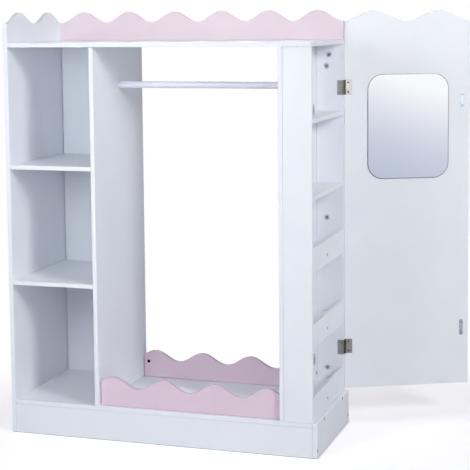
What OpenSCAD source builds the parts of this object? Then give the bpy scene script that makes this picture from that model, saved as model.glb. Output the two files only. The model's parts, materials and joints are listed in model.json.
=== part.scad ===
// Child's dress-up storage unit: cubbies on the left, an open hanging bay in the middle,
// a shallow tower of shelves and bins on the right, and a mirror door hinged at its rear corner.
// The drawing's origin is under the middle of the front plinth; X runs right, Y back, Z up.

/* [Carcass] */
// Width over the left panel and the right base panel
unit_w = 900; // [860:5:940]
// Depth of the side panels
unit_d = 370; // [350:5:400]
// Thickness of every painted board
board = 12; // [11:0.5:14]
// Height of the two plinths
base_h = 83; // [70:1:100]
// Clear height from the bottom board to the top board
bay_h = 1003; // [990:1:1040]

/* [Left cubbies] */
// Clear width of the cubbies
cubby_w = 246; // [220:2:270]
// Clear height of the lowest cubby
lower_cubby_h = 332; // [310:1:350]
// Clear height of the middle cubby
middle_cubby_h = 317; // [300:1:340]

/* [Right tower] */
// Clear width of the tower, inner wall to door side
tower_w = 80; // [74:1:96]
// Height from the lowest bin to the second one
tower_first_pitch = 198; // [190:1:206]
// Height from one level of the tower to the next, above the second bin
tower_pitch = 205; // [198:0.5:208]
// Height of the rail that keeps things in a bin
bin_rail_h = 68; // [55:1:90]
// Height of a bin shelf's underside above the bottom edge of its rail
bin_shelf_rise = 21; // [16:1:30]

/* [Scalloped edges] */
// Mean height of the top scallops above the top board
crest_mean = 69.5; // [55:0.5:85]
// Half the height of the top scallops, trough to crest
crest_amp = 15.5; // [10:0.5:22]
// Length of one scallop on the left panel
side_scallop = 192; // [170:1:210]
// Length of one scallop on the back rail of the top board
top_scallop = 144.6; // [130:0.2:160]
// Mean height of the bay rails
bay_rail_mean = 68; // [60:1:85]
// Half the height of the bay rails' scallops
bay_rail_amp = 15; // [8:1:18]
// Length of one scallop on the bay rails
bay_scallop = 150; // [130:1:170]
// Distance of the bay rails from the unit's front and back edges
bay_rail_inset = 13; // [12.5:0.5:30]

/* [Hanging rail] */
// Diameter of the hanging rail
rail_d = 20; // [18:0.5:25]
// Distance of its axis below the top board
rail_drop = 110; // [80:1:140]

/* [Door] */
// Width of the door
door_w = 367; // [355:1:368]
// Distance of the door's scallops below those of the carcass
door_crest_drop = 3.5; // [0:0.5:8]
// Length of one scallop on the door
door_scallop = 190; // [170:1:210]
// Distance of the door's middle trough from its middle, towards the hinge
door_scallop_shift = 4; // [-8:1:8]
// Gap between the closed door and the carcass
door_gap = 2.4; // [2.2:0.1:3]
// Gap between the door and the base panel under it
door_foot_gap = 2; // [1.5:0.5:4]
// Angle at which the drawing shows the door, 0 being closed
door_angle = 116.5; // [90:0.5:170]

/* [Mirror] */
// Width of the mirror
mirror_w = 240; // [200:2:260]
// Height of the mirror
mirror_h = 302; // [260:2:340]
// Radius of its corners
mirror_r = 45; // [20:1:60]
// Thickness of the mirror sheet
mirror_t = 1.5; // [1:0.1:1.5]
// Thickness of the tape behind it
tape_t = 0.4; // [0.2:0.1:0.4]
// Height of the mirror's centre above the bottom board
mirror_rise = 764; // [730:1:790]

/* [Hinges] */
// Height of a hinge
hinge_h = 42; // [36:1:50]
// Width of a hinge leaf
leaf_w = 18; // [14:0.5:20]
// Thickness of a hinge leaf
leaf_t = 1; // [0.8:0.1:1]
// Diameter of the knuckles
knuckle_d = 4.4; // [4:0.1:5]
// Diameter of the hinge pin
pin_d = 2.4; // [2:0.1:2.6]
// Knuckles on one hinge
knuckles = 5; // [3:2:7]
// Height of the upper hinge's middle above the highest tower shelf
hinge_above_shelf = 66; // [60:1:80]
// Height of the lower hinge's middle below the second bin
hinge_below_bin = 71; // [66:1:80]

/* [Door catches] */
// Depth of a catch, along the door side
catch_x = 15; // [13:0.5:18]
// Thickness of a catch, off the front panel
catch_y = 18; // [12:0.5:20]
// Height of a catch
catch_h = 27.5; // [25:0.5:32]
// Height of the upper catch's middle above the highest tower shelf
catch_above_shelf = 24; // [18:1:28]
// Height of the lower catch's middle below the second bin
catch_below_bin = 29; // [24:0.5:36]
// Height of a strike plate
strike_h = 46; // [36:1:48]
// Width of a strike plate
strike_w = 11; // [10:0.5:14]
// Distance of its middle from the door's free edge
strike_inset = 22; // [16:0.5:24]

/* [Fasteners] */
// Diameter of the wooden dowels
dowel_d = 6; // [5:0.5:7]
// Diameter of the cam nuts
cam_d = 15; // [12:0.5:16]
// Distance of a cam nut's centre from the joint it pulls
cam_setback = 31; // [26:1:36]
// Diameter of the carcass screws' heads
screw_head_d = 8.5; // [7:0.5:10]
// Length of the carcass screws
screw_len = 40; // [34:1:50]
// Length of the screws through the bin rails
bin_screw_len = 30; // [26:1:36]
// Length of the small screws in the hinges and strikes
small_len = 10; // [8:0.5:11]
// Height of the bay rails' bolts above the bottom board
bay_bolt_rise = 48; // [40:1:50]
// Distance of the barrel nuts from the ends of the bay rails
barrel_setback = 17; // [14:1:22]

/* [Hidden] */
$fn = 32;

// Colours
WHITE = "#E9EBF0";
PINK = "#E4D0E2";
STEEL = "#9C9CA2";
PLASTIC = "#ECECF0";
PINE = "#D9BF94";

// Clearances
fit = 0.05;       // radial clearance of pins, dowels, screws and bolts
play = 0.3;       // gap between knuckles, and around the hinge
overshoot = 1;    // how far a cutter reaches past the face it opens

// Planes of the carcass
divider_l = board + cubby_w;
divider_r = divider_l + board;
carcass_r = unit_w - board;
wall_r = carcass_r - tower_w;
wall_l = wall_r - board;
back_in = unit_d - board;
floor_z = base_h + board;
deck_z = floor_z + bay_h;
top_z = deck_z + board;
half = board / 2;

// Levels
lower_shelf_z = floor_z + lower_cubby_h;
upper_shelf_z = lower_shelf_z + board + middle_cubby_h;
function level_z(n) = floor_z + (n < 1 ? n * tower_first_pitch : tower_first_pitch + (n - 1) * tower_pitch);
bin_rail_x = carcass_r - board;

// Door, drawn closed and then swung about the hinge pin
door_x = carcass_r + door_gap;
door_z = floor_z + door_foot_gap;
door_front = unit_d - door_w;
pin_x = carcass_r + door_gap / 2;
pin_y = unit_d + knuckle_d / 2 + play;
hinge_z = [level_z(4) + hinge_above_shelf, level_z(1) - hinge_below_bin];
catch_z = [level_z(4) + catch_above_shelf, level_z(1) - catch_below_bin];
strike_face = door_x - leaf_t;
strike_y = door_front + strike_inset;
hinge_screw_pitch = 27;
magnet_out = strike_face - play;

// Fastener sizes
dowel_face = 8;
dowel_edge = 16;
screw_d = 5;
screw_head_h = 3;
cam_h = board - 2.5;
cam_pull = board - 4;
bolt_d = 6;
bolt_head_d = 11;
bolt_crown_d = 8;
bolt_head_h = 2.5;
barrel_d = 10;
barrel_h = board - 2.5;
small_d = 3;
small_head_d = 5.6;
socket_d = 4.6;
socket_depth = 2;
edge_inset = 60;
screw_inset = 79;
bolt_z = floor_z + bay_bolt_rise;
tower_dowel_inset = 20;
corner_dowel_inset = 16;
bin_dowel_inset = 18;
rail_dowel_drop = 14;
rail_end_rise = 25;
cam_low_rise = 65;
cam_high_drop = 62;
cam_top_offset = 38;
cross_len = 8;
cross_w = 1.8;
cross_depth = 2.2;

// Where each fastener enters its first board, and the way that it points
RIGHT = [1, 0, 0];
LEFT = [-1, 0, 0];
BACK = [0, 1, 0];
FRONT = [0, -1, 0];
UP = [0, 0, 1];
DOWN = [0, 0, -1];

tower_joints = [half, unit_d - half];
wall_dowels = [
    for (x = [divider_l + half, wall_l + half], y = [edge_inset, unit_d - edge_inset], top = [0, 1])
        [[x, y, top ? deck_z : floor_z], top ? DOWN : UP]
];
back_panel_dowels = [
    for (x = [board + edge_inset, divider_l - edge_inset], top = [0, 1])
        [[x, unit_d - half, top ? deck_z : floor_z], top ? DOWN : UP]
];
tower_panel_dowels = [
    for (y = tower_joints) each [
        [[wall_r + tower_dowel_inset, y, floor_z], UP],
        [[carcass_r - tower_dowel_inset, y, floor_z], UP],
        [[carcass_r - corner_dowel_inset, y, deck_z], DOWN]
    ]
];
// Two dowels at each end of a board that runs from the tower's front panel to its back panel
function end_dowels(x_places, z) = [
    for (x = x_places, rear = [0, 1])
        [[x, rear ? back_in : board, z], rear ? FRONT : BACK]
];
tower_shelf_dowels = [
    for (n = [3, 4])
        each end_dowels([wall_r + tower_dowel_inset, carcass_r - tower_dowel_inset], level_z(n) - half)
];
bin_dowels = [
    for (n = [0 : 2]) let (z = level_z(n)) each concat(
        end_dowels([wall_r + bin_dowel_inset, bin_rail_x - corner_dowel_inset], z + bin_shelf_rise + half),
        end_dowels([bin_rail_x + half], z + bin_rail_h - rail_dowel_drop)
    )
];
cubby_dowels = [
    for (z = [lower_shelf_z, upper_shelf_z], y = [edge_inset, back_in - edge_inset], far = [0, 1])
        [[far ? divider_l : board, y, z + half], far ? LEFT : RIGHT]
];
top_rail_dowels = concat(
    [for (f = [0.1, 0.5, 0.9]) [[unit_w * f, unit_d - half, top_z], UP]],
    [[[board, unit_d - half, top_z + rail_end_rise], RIGHT]]
);
plinth_dowels = [
    for (f = [0.17, 0.5, 0.83], y = [half, unit_d - half]) [[unit_w * f, y, base_h], DOWN]
];
dowels = concat(wall_dowels, back_panel_dowels, tower_panel_dowels, tower_shelf_dowels, bin_dowels,
    cubby_dowels, top_rail_dowels, plinth_dowels);

side_screw_places = [
    [screw_inset, floor_z - half], [unit_d - screw_inset, floor_z - half],
    [half, base_h / 4], [unit_d - half, base_h / 4]
];
carcass_screw_places = concat(
    [for (p = side_screw_places) [[0, p[0], p[1]], RIGHT]],
    [for (p = side_screw_places) [[unit_w, p[0], p[1]], LEFT]],
    [for (y = [screw_inset, unit_d - screw_inset]) [[0, y, deck_z + half], RIGHT]]
);
bin_screw_places = [
    for (n = [0 : 2]) [[carcass_r, unit_d * 0.45, level_z(n) + bin_shelf_rise + half], LEFT]
];
rail_screw_places = [
    [[divider_l, unit_d / 2, deck_z - rail_drop], RIGHT],
    [[wall_r, unit_d / 2, deck_z - rail_drop], LEFT]
];

// Cam nuts: centre on the board's face, the way into the board, and the way that the bolt leaves
cam_levels = [floor_z + cam_low_rise, level_z(2.5), deck_z - cam_high_drop];
cam_places = concat(
    [for (z = cam_levels) [[wall_r + cam_setback, back_in, z], BACK, LEFT]],
    [for (z = cam_levels) [[wall_r + cam_setback, board, z], FRONT, LEFT]],
    [for (z = cam_levels) [[board + cam_setback, unit_d, z], FRONT, LEFT]],
    [for (z = cam_levels) [[divider_l - cam_setback, unit_d, z], FRONT, RIGHT]],
    [[[wall_r + cam_top_offset, back_in, deck_z - cam_setback], BACK, UP]],
    [[[wall_r + cam_top_offset, board, deck_z - cam_setback], FRONT, UP]]
);

// Bay rails: bolts through the divider and the inner wall, into barrel nuts in the rails
bay_rail_y = [bay_rail_inset, unit_d - bay_rail_inset - board];
bay_bolt_places = [
    for (y = bay_rail_y) each [[[divider_l, y + half, bolt_z], RIGHT], [[wall_r, y + half, bolt_z], LEFT]]
];
barrel_places = [
    for (x = [divider_r + barrel_setback, wall_l - barrel_setback]) each [
        [[x, bay_rail_y[0] + board, bolt_z], FRONT],
        [[x, bay_rail_y[1], bolt_z], BACK]
    ]
];
bolt_len = board + barrel_setback + barrel_d / 2;

// Small countersunk screws, and where they stand in a hinge leaf, a catch and a strike
frame_screw_share = 0.56;
door_screw_share = 0.38;
catch_screw_inset = 3.6;
catch_screw_margin = 8;
strike_screw_margin = 15;
catch_screw_bite = 8;
catch_screw_len = catch_y + catch_screw_bite;
frame_screw_places = [
    for (z = hinge_z, s = [-0.5, 0.5])
        [[carcass_r - leaf_w * frame_screw_share, back_in - leaf_t, z + s * hinge_screw_pitch], BACK]
];
door_screw_places = [
    for (z = hinge_z, s = [-0.5, 0.5])
        [[strike_face, unit_d - leaf_w * door_screw_share, z + s * hinge_screw_pitch], RIGHT]
];
strike_screw_pitch = strike_h - strike_screw_margin;
strike_screw_places = [
    for (z = catch_z, s = [-0.5, 0.5])
        [[strike_face, strike_y, z + s * strike_screw_pitch], RIGHT]
];
catch_screw_x = carcass_r - catch_x + catch_screw_inset;
catch_screw_pitch = catch_h - catch_screw_margin;
catch_screw_places = [
    for (z = catch_z, s = [-0.5, 0.5])
        [[catch_screw_x, board + catch_y, z + s * catch_screw_pitch], FRONT]
];

// Shared helpers

// Moves the drawing's origin under the middle of the front plinth
module placed() {
    translate([-unit_w / 2, -half, 0]) children();
}

// Swings a piece drawn on the closed door to the angle that is shown
module on_door() {
    placed() translate([pin_x, pin_y, 0]) rotate(door_angle) translate([-pin_x, -pin_y, 0]) children();
}

// Turns a piece drawn along +Z to point along one axis from a place
module aim(pos, dir) {
    upright = [dir.z > 0 ? 0 : 180, 0, 0];
    turn = dir.x != 0 ? [0, 90 * dir.x, 0] : dir.y != 0 ? [-90 * dir.y, 0, 0] : upright;
    translate(pos) rotate(turn) children();
}

module box(lo, hi) {
    translate(lo) cube(hi - lo);
}

function reaches(p, lo, hi, reach) =
    p.x > lo.x - reach && p.x < hi.x + reach &&
    p.y > lo.y - reach && p.y < hi.y + reach &&
    p.z > lo.z - reach && p.z < hi.z + reach;

// A board with one scalloped edge, drawn in XY and extruded by its thickness. One trough lies at shift
// from its middle.
module scalloped_board(length, mean, amp, pitch, shift = 0) {
    count = ceil(length / pitch * 20);
    edge = [
        for (i = [0 : count]) let (u = length * i / count)
            [u, mean - amp * cos(360 * (u - length / 2 - shift) / pitch)]
    ];
    linear_extrude(board) polygon(concat([[0, 0]], edge, [[length, 0]]));
}

module along_x(pos) {
    translate(pos + [0, board, 0]) rotate([90, 0, 0]) children();
}

module along_y(pos) {
    translate(pos) rotate([90, 0, 90]) children();
}

// Solids of the fasteners, each drawn along +Z from the face that it enters. grow makes its hole.

module dowel(grow = 0) {
    length = dowel_face + dowel_edge;
    translate([0, 0, -dowel_face - grow]) cylinder(d = dowel_d + 2 * grow, h = length + 2 * grow);
}

module hex_socket() {
    translate([0, 0, -overshoot]) cylinder(d = socket_d, h = overshoot + socket_depth, $fn = 6);
}

module carcass_screw(length, grow = 0) {
    difference() {
        union() {
            translate([0, 0, -sign(grow)])
                cylinder(d = screw_head_d + 2 * grow, h = screw_head_h + sign(grow));
            cylinder(d = screw_d + 2 * grow, h = length + grow);
        }
        if (grow == 0) hex_socket();
    }
}

module small_screw(length, grow = 0) {
    head = small_head_d / 2 + grow;
    shank = small_d / 2 + grow;
    rim = 0.2;
    tip_len = 1.5;
    tip_r = 0.3;
    rotate_extrude($fn = 24) polygon([
        [0, -sign(grow)], [head, -sign(grow)], [head, rim], [shank, rim + head - shank],
        [shank, length - tip_len + grow], [tip_r, length + grow], [0, length + grow]
    ]);
}

module cam_nut(grow = 0) {
    difference() {
        translate([0, 0, -sign(grow)]) cylinder(d = cam_d + 2 * grow, h = cam_h + sign(grow) + grow);
        if (grow == 0) {
            for (a = [20, 110]) rotate(a) translate([-cross_len / 2, -cross_w / 2, -overshoot])
                cube([cross_len, cross_w, overshoot + cross_depth]);
        }
    }
}

// Head, neck and shank of a cam bolt, from the cam's centre along +Z to its end in the next board
module cam_bolt(grow = 0) {
    head_from = 1;
    neck_from = 3.5;
    shank_from = 6.5;
    end = cam_setback + cam_pull;
    if (grow == 0) {
        translate([0, 0, head_from]) cylinder(d = bolt_d, h = neck_from - head_from);
        translate([0, 0, neck_from]) cylinder(d = bolt_d - 2, h = shank_from - neck_from);
        translate([0, 0, shank_from]) cylinder(d = bolt_d, h = end - shank_from);
    } else {
        cylinder(d = bolt_d + 2 * grow, h = end + grow);
    }
}

module bay_bolt(grow = 0) {
    cylinder(d = bolt_d + 2 * grow, h = bolt_len + grow);
    if (grow == 0) {
        difference() {
            translate([0, 0, -bolt_head_h]) cylinder(d1 = bolt_crown_d, d2 = bolt_head_d, h = bolt_head_h);
            translate([0, 0, -bolt_head_h]) hex_socket();
        }
    }
}

module barrel_nut(grow = 0) {
    translate([0, 0, -sign(grow)]) cylinder(d = barrel_d + 2 * grow, h = barrel_h + sign(grow) + grow);
}

// Bolt holes that cross the cams and barrel nuts
module cam_bolt_at(c, grow = 0) {
    aim(c[0] + c[1] * half, c[2]) cam_bolt(grow);
}

// A board from one corner to the other, drilled for each fastener near it
module drilled(lo, hi) {
    difference() {
        children();
        for (d = dowels) if (reaches(d[0], lo, hi, dowel_edge)) aim(d[0], d[1]) dowel(fit);
        for (s = carcass_screw_places)
            if (reaches(s[0], lo, hi, screw_len)) aim(s[0], s[1]) carcass_screw(screw_len, fit);
        for (s = bin_screw_places)
            if (reaches(s[0], lo, hi, bin_screw_len)) aim(s[0], s[1]) carcass_screw(bin_screw_len, fit);
        for (s = rail_screw_places)
            if (reaches(s[0], lo, hi, screw_len)) aim(s[0], s[1]) carcass_screw(screw_len, fit);
        for (c = cam_places) if (reaches(c[0], lo, hi, cam_setback + board)) {
            aim(c[0], c[1]) cam_nut(fit);
            cam_bolt_at(c, fit);
        }
        for (b = bay_bolt_places) if (reaches(b[0], lo, hi, bolt_len)) aim(b[0], b[1]) bay_bolt(fit);
        for (b = barrel_places) if (reaches(b[0], lo, hi, fit)) aim(b[0], b[1]) barrel_nut(fit);
        for (s = frame_screw_places)
            if (reaches(s[0], lo, hi, small_len)) aim(s[0], s[1]) small_screw(small_len, fit);
        for (s = catch_screw_places)
            if (reaches(s[0], lo, hi, catch_screw_len)) aim(s[0], s[1]) small_screw(catch_screw_len, fit);
    }
}

module flat_board(lo, hi, paint = WHITE) {
    color(paint) placed() drilled(lo, hi) box(lo, hi);
}

// Carcass boards

module left_side_panel() {
    color(WHITE) placed() drilled([0, 0, 0], [board, unit_d, top_z + crest_mean])
        along_y([0, 0, 0]) scalloped_board(unit_d, top_z + crest_mean, crest_amp, side_scallop);
}

module left_back_panel() {
    flat_board([board, back_in, floor_z], [divider_l, unit_d, deck_z]);
}

module left_divider() {
    flat_board([divider_l, 0, floor_z], [divider_r, unit_d, deck_z]);
}

module cubby_shelf(z) {
    flat_board([board, 0, z], [divider_l, back_in, z + board]);
}

module upper_shelf() {
    cubby_shelf(upper_shelf_z);
}

module lower_shelf() {
    cubby_shelf(lower_shelf_z);
}

module bottom_board() {
    flat_board([board, 0, base_h], [carcass_r, unit_d, floor_z]);
}

module top_board() {
    flat_board([board, 0, deck_z], [carcass_r, unit_d, top_z]);
}

module top_rear_rail() {
    color(PINK) placed() drilled([board, back_in, top_z], [carcass_r, unit_d, top_z + crest_mean])
        along_x([board, back_in, top_z])
            scalloped_board(carcass_r - board, crest_mean, crest_amp, top_scallop);
}

module plinth(y) {
    flat_board([board, y, 0], [carcass_r, y + board, base_h]);
}

module front_plinth() {
    plinth(0);
}

module rear_plinth() {
    plinth(back_in);
}

module base_side_panel() {
    flat_board([carcass_r, 0, 0], [unit_w, unit_d, floor_z]);
}

// Right tower

module inner_wall() {
    flat_board([wall_l, 0, floor_z], [wall_r, unit_d, deck_z]);
}

module tower_panel(y) {
    flat_board([wall_r, y, floor_z], [carcass_r, y + board, deck_z]);
}

module right_front_panel() {
    tower_panel(0);
}

module right_back_panel() {
    tower_panel(back_in);
}

module tower_shelf(n) {
    flat_board([wall_r, board, level_z(n) - board], [carcass_r, back_in, level_z(n)]);
}

module side_shelf_upper() {
    tower_shelf(4);
}

module side_shelf_lower() {
    tower_shelf(3);
}

module bin_shelf(n) {
    z = level_z(n) + bin_shelf_rise;
    flat_board([wall_r, board, z], [bin_rail_x, back_in, z + board]);
}

module bin_shelf_upper() {
    bin_shelf(2);
}

module bin_shelf_middle() {
    bin_shelf(1);
}

module bin_shelf_lower() {
    bin_shelf(0);
}

module bin_rail(n) {
    flat_board([bin_rail_x, board, level_z(n)], [carcass_r, back_in, level_z(n) + bin_rail_h]);
}

module bin_rail_upper() {
    bin_rail(2);
}

module bin_rail_middle() {
    bin_rail(1);
}

module bin_rail_lower() {
    bin_rail(0);
}

// Hanging bay

module bay_rail(y) {
    color(PINK) placed() drilled([divider_r, y, floor_z], [wall_l, y + board, floor_z + bay_rail_mean])
        along_x([divider_r, y, floor_z])
            scalloped_board(wall_l - divider_r, bay_rail_mean, bay_rail_amp, bay_scallop);
}

module bay_front_rail() {
    bay_rail(bay_rail_y[0]);
}

module bay_rear_rail() {
    bay_rail(bay_rail_y[1]);
}

module hanging_rail() {
    color(WHITE) placed() difference() {
        aim([divider_r, unit_d / 2, deck_z - rail_drop], RIGHT)
            cylinder(d = rail_d, h = wall_l - divider_r, $fn = 64);
        for (s = rail_screw_places) aim(s[0], s[1]) carcass_screw(screw_len, fit);
    }
}

// Fasteners of the carcass

module wood_dowels() {
    color(PINE) placed() for (d = dowels) aim(d[0], d[1]) dowel();
}

module carcass_screws() {
    color(STEEL) placed() for (s = carcass_screw_places) aim(s[0], s[1]) carcass_screw(screw_len);
}

module bin_rail_screws() {
    color(STEEL) placed() for (s = bin_screw_places) aim(s[0], s[1]) carcass_screw(bin_screw_len);
}

module hanging_rail_screws() {
    color(STEEL) placed() for (s = rail_screw_places) aim(s[0], s[1]) carcass_screw(screw_len);
}

module cam_nuts() {
    color(STEEL) placed() difference() {
        for (c = cam_places) aim(c[0], c[1]) cam_nut();
        for (c = cam_places) cam_bolt_at(c, fit);
    }
}

module cam_bolts() {
    color(STEEL) placed() for (c = cam_places) cam_bolt_at(c);
}

module bay_rail_bolts() {
    color(STEEL) placed() for (b = bay_bolt_places) aim(b[0], b[1]) bay_bolt();
}

module bay_barrel_nuts() {
    color(STEEL) placed() difference() {
        for (b = barrel_places) aim(b[0], b[1]) barrel_nut();
        for (b = bay_bolt_places) aim(b[0], b[1]) bay_bolt(fit);
    }
}

// Magnetic catches on the front panel

magnet_half_w = 4;
magnet_half_h = 7;
magnet_depth = 7;

module magnet(z, grow = 0) {
    half_w = magnet_half_w + grow;
    half_h = magnet_half_h + grow;
    back = carcass_r - magnet_depth - grow;
    front = grow > 0 ? carcass_r + overshoot : magnet_out;
    mid_y = board + catch_y / 2;
    box([back, mid_y - half_w, z - half_h], [front, mid_y + half_w, z + half_h]);
}

module catch_housings() {
    color(PLASTIC) placed() difference() {
        for (z = catch_z)
            box([carcass_r - catch_x, board, z - catch_h / 2], [carcass_r, board + catch_y, z + catch_h / 2]);
        for (z = catch_z) magnet(z, fit);
        for (s = catch_screw_places) aim(s[0], s[1]) small_screw(catch_screw_len, fit);
    }
}

module catch_magnets() {
    color(STEEL) placed() for (z = catch_z) magnet(z);
}

module catch_screws() {
    color(STEEL) placed() for (s = catch_screw_places) aim(s[0], s[1]) small_screw(catch_screw_len);
}

// Hinges: a leaf wrapped round the back panel's edge, a flat leaf on the door, and a pin

knuckle_h = (hinge_h - (knuckles - 1) * play) / knuckles;
tongue_root = 1;

// Knuckles of one leaf with the tongues that join them to it; first is 0 for the frame and 1 for the door
module knuckle_set(z, first, tongue_x) {
    for (i = [first : 2 : knuckles - 1]) {
        low = z - hinge_h / 2 + i * (knuckle_h + play);
        translate([pin_x, pin_y, low]) cylinder(d = knuckle_d, h = knuckle_h);
        box([tongue_x, unit_d - tongue_root, low], [tongue_x + leaf_t, pin_y, low + knuckle_h]);
    }
}

module pin_bore(z) {
    translate([pin_x, pin_y, z - hinge_h / 2 - overshoot])
        cylinder(d = pin_d + 2 * fit, h = hinge_h + 2 * overshoot);
}

module hinge_frame_leaves() {
    color(STEEL) placed() difference() {
        for (z = hinge_z) union() {
            low = z - hinge_h / 2;
            box([carcass_r - leaf_w, back_in - leaf_t, low], [carcass_r + leaf_t, back_in, low + hinge_h]);
            box([carcass_r, back_in - leaf_t, low], [carcass_r + leaf_t, unit_d, low + hinge_h]);
            knuckle_set(z, 0, carcass_r);
        }
        for (z = hinge_z) pin_bore(z);
        for (s = frame_screw_places) aim(s[0], s[1]) small_screw(small_len, fit);
    }
}

module hinge_frame_screws() {
    color(STEEL) placed() for (s = frame_screw_places) aim(s[0], s[1]) small_screw(small_len);
}

pin_proud = 0.6;
pin_head_d = 3.8;
pin_head_h = 1;

module hinge_pins() {
    color(STEEL) placed() for (z = hinge_z) translate([pin_x, pin_y, z - hinge_h / 2 - pin_proud]) {
        cylinder(d = pin_d, h = hinge_h + pin_proud);
        translate([0, 0, hinge_h + pin_proud]) cylinder(d = pin_head_d, h = pin_head_h);
    }
}

module hinge_door_leaves() {
    color(STEEL) on_door() difference() {
        for (z = hinge_z) union() {
            low = z - hinge_h / 2;
            box([strike_face, unit_d - leaf_w, low], [door_x, unit_d, low + hinge_h]);
            knuckle_set(z, 1, strike_face);
        }
        for (z = hinge_z) pin_bore(z);
        for (s = door_screw_places) aim(s[0], s[1]) small_screw(small_len, fit);
    }
}

module hinge_door_screws() {
    color(STEEL) on_door() for (s = door_screw_places) aim(s[0], s[1]) small_screw(small_len);
}

// Door

module door_panel() {
    mean = top_z + crest_mean - door_crest_drop - door_z;
    color(WHITE) on_door() difference() {
        along_y([door_x, door_front, door_z])
            scalloped_board(door_w, mean, crest_amp, door_scallop, door_scallop_shift);
        for (s = concat(door_screw_places, strike_screw_places)) aim(s[0], s[1]) small_screw(small_len, fit);
    }
}

// A rounded rectangle with true arcs at its corners, centred on the origin
module rounded_rect(w, h, r) {
    square([w - 2 * r, h], center = true);
    square([w, h - 2 * r], center = true);
    for (x = [-1, 1], y = [-1, 1]) translate([x * (w / 2 - r), y * (h / 2 - r)]) circle(r, $fn = 48);
}

module mirror_sheet() {
    color("#D6DAE4") on_door()
        along_y([door_x - tape_t - mirror_t, door_front + door_w / 2, floor_z + mirror_rise])
            linear_extrude(mirror_t) rounded_rect(mirror_w, mirror_h, mirror_r);
}

tape_w = 20;
tape_share = 0.3;

module mirror_tape() {
    color("#B8B8B8") on_door() for (s = [-1, 1])
        along_y([door_x - tape_t, door_front + door_w / 2 + s * mirror_w * tape_share, floor_z + mirror_rise])
            linear_extrude(tape_t) square([tape_w, mirror_h - 2 * mirror_r], center = true);
}

strike_r = 2;

module strike_plates() {
    color(STEEL) on_door() difference() {
        for (z = catch_z) along_y([strike_face, strike_y, z])
            linear_extrude(leaf_t) rounded_rect(strike_w, strike_h, strike_r);
        for (s = strike_screw_places) aim(s[0], s[1]) small_screw(small_len, fit);
    }
}

module strike_screws() {
    color(STEEL) on_door() for (s = strike_screw_places) aim(s[0], s[1]) small_screw(small_len);
}

left_side_panel();
left_back_panel();
left_divider();
upper_shelf();
lower_shelf();
bottom_board();
top_board();
top_rear_rail();
front_plinth();
rear_plinth();
base_side_panel();
inner_wall();
right_front_panel();
right_back_panel();
side_shelf_upper();
side_shelf_lower();
bin_shelf_upper();
bin_shelf_middle();
bin_shelf_lower();
bin_rail_upper();
bin_rail_middle();
bin_rail_lower();
bay_front_rail();
bay_rear_rail();
hanging_rail();
wood_dowels();
carcass_screws();
cam_nuts();
cam_bolts();
bay_rail_bolts();
bay_barrel_nuts();
bin_rail_screws();
hanging_rail_screws();
catch_housings();
catch_magnets();
catch_screws();
hinge_frame_leaves();
hinge_frame_screws();
hinge_pins();
door_panel();
mirror_sheet();
mirror_tape();
hinge_door_leaves();
hinge_door_screws();
strike_plates();
strike_screws();
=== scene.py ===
"""Looks of a child's dress-up storage unit with a mirror door.

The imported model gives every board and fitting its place. Each class below dresses one sub-assembly of
the unit: it builds the surfaces that show, gives them their finish and lets them ride on their body.
"""
import json
import logging
import math
from dataclasses import dataclass
from enum import Enum
from typing import Callable, Iterable, List, Optional, Sequence, Tuple, Union

import bpy
import numpy as np
from mathutils import Matrix, Vector
from mathutils.geometry import delaunay_2d_cdt


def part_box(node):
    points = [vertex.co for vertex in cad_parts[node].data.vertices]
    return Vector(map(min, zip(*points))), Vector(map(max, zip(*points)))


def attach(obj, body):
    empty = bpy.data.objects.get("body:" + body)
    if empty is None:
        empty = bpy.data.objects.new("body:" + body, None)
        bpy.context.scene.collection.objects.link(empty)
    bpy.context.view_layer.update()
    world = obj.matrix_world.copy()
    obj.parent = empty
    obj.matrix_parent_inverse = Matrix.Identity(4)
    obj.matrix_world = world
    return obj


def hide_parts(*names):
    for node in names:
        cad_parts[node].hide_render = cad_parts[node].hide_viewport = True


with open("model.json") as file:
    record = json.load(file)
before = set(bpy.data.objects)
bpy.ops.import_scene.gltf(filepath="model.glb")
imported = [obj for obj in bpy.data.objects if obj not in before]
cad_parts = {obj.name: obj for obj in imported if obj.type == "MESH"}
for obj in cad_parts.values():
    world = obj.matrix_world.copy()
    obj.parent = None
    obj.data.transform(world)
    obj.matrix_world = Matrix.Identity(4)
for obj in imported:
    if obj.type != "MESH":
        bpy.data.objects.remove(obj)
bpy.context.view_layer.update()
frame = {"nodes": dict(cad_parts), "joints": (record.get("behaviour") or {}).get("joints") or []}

log = logging.getLogger("dress_up_unit")

MM = 0.001
TAU = 2 * math.pi
# How far from a board's corner its rounding starts, seen square on.
CORNER = 2.3 * MM
# How far a fastener's head may lie from a face and still sit in it.
ON_FACE = 0.2 * MM
# How near a fastener's end its points count as that end's.
AT_END = 0.05 * MM
# Folds sharper than this show as edges.
SHARP_ANGLE = math.radians(38)
# How far wide faces outweigh narrow ones in the shading at their rims. 50 is even.
FACE_WEIGHT = 80
# How far the first screw of a group is driven round, and how much further each of the next, in radians.
SCREW_SPIN = 0.3
SCREW_STEP = 0.9

Point = Tuple[float, float, float]
Span = Tuple[float, float]
Tree = bpy.types.NodeTree
Socket = bpy.types.NodeSocket


# ---------------------------------------------------------------- colour and shader nodes


def linear(hex_colour: str) -> Tuple[float, float, float, float]:
    """Turns an sRGB hex colour into linear light with full alpha.

    Args:
        hex_colour: Six hex digits after a hash sign.

    Returns:
        Red, green, blue and alpha, each from 0 to 1.
    """
    srgb = np.array([int(hex_colour[i : i + 2], 16) for i in (1, 3, 5)]) / 255
    light = np.where(srgb <= 0.04045, srgb / 12.92, ((srgb + 0.055) / 1.055) ** 2.4)
    return (*light.tolist(), 1.0)


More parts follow.
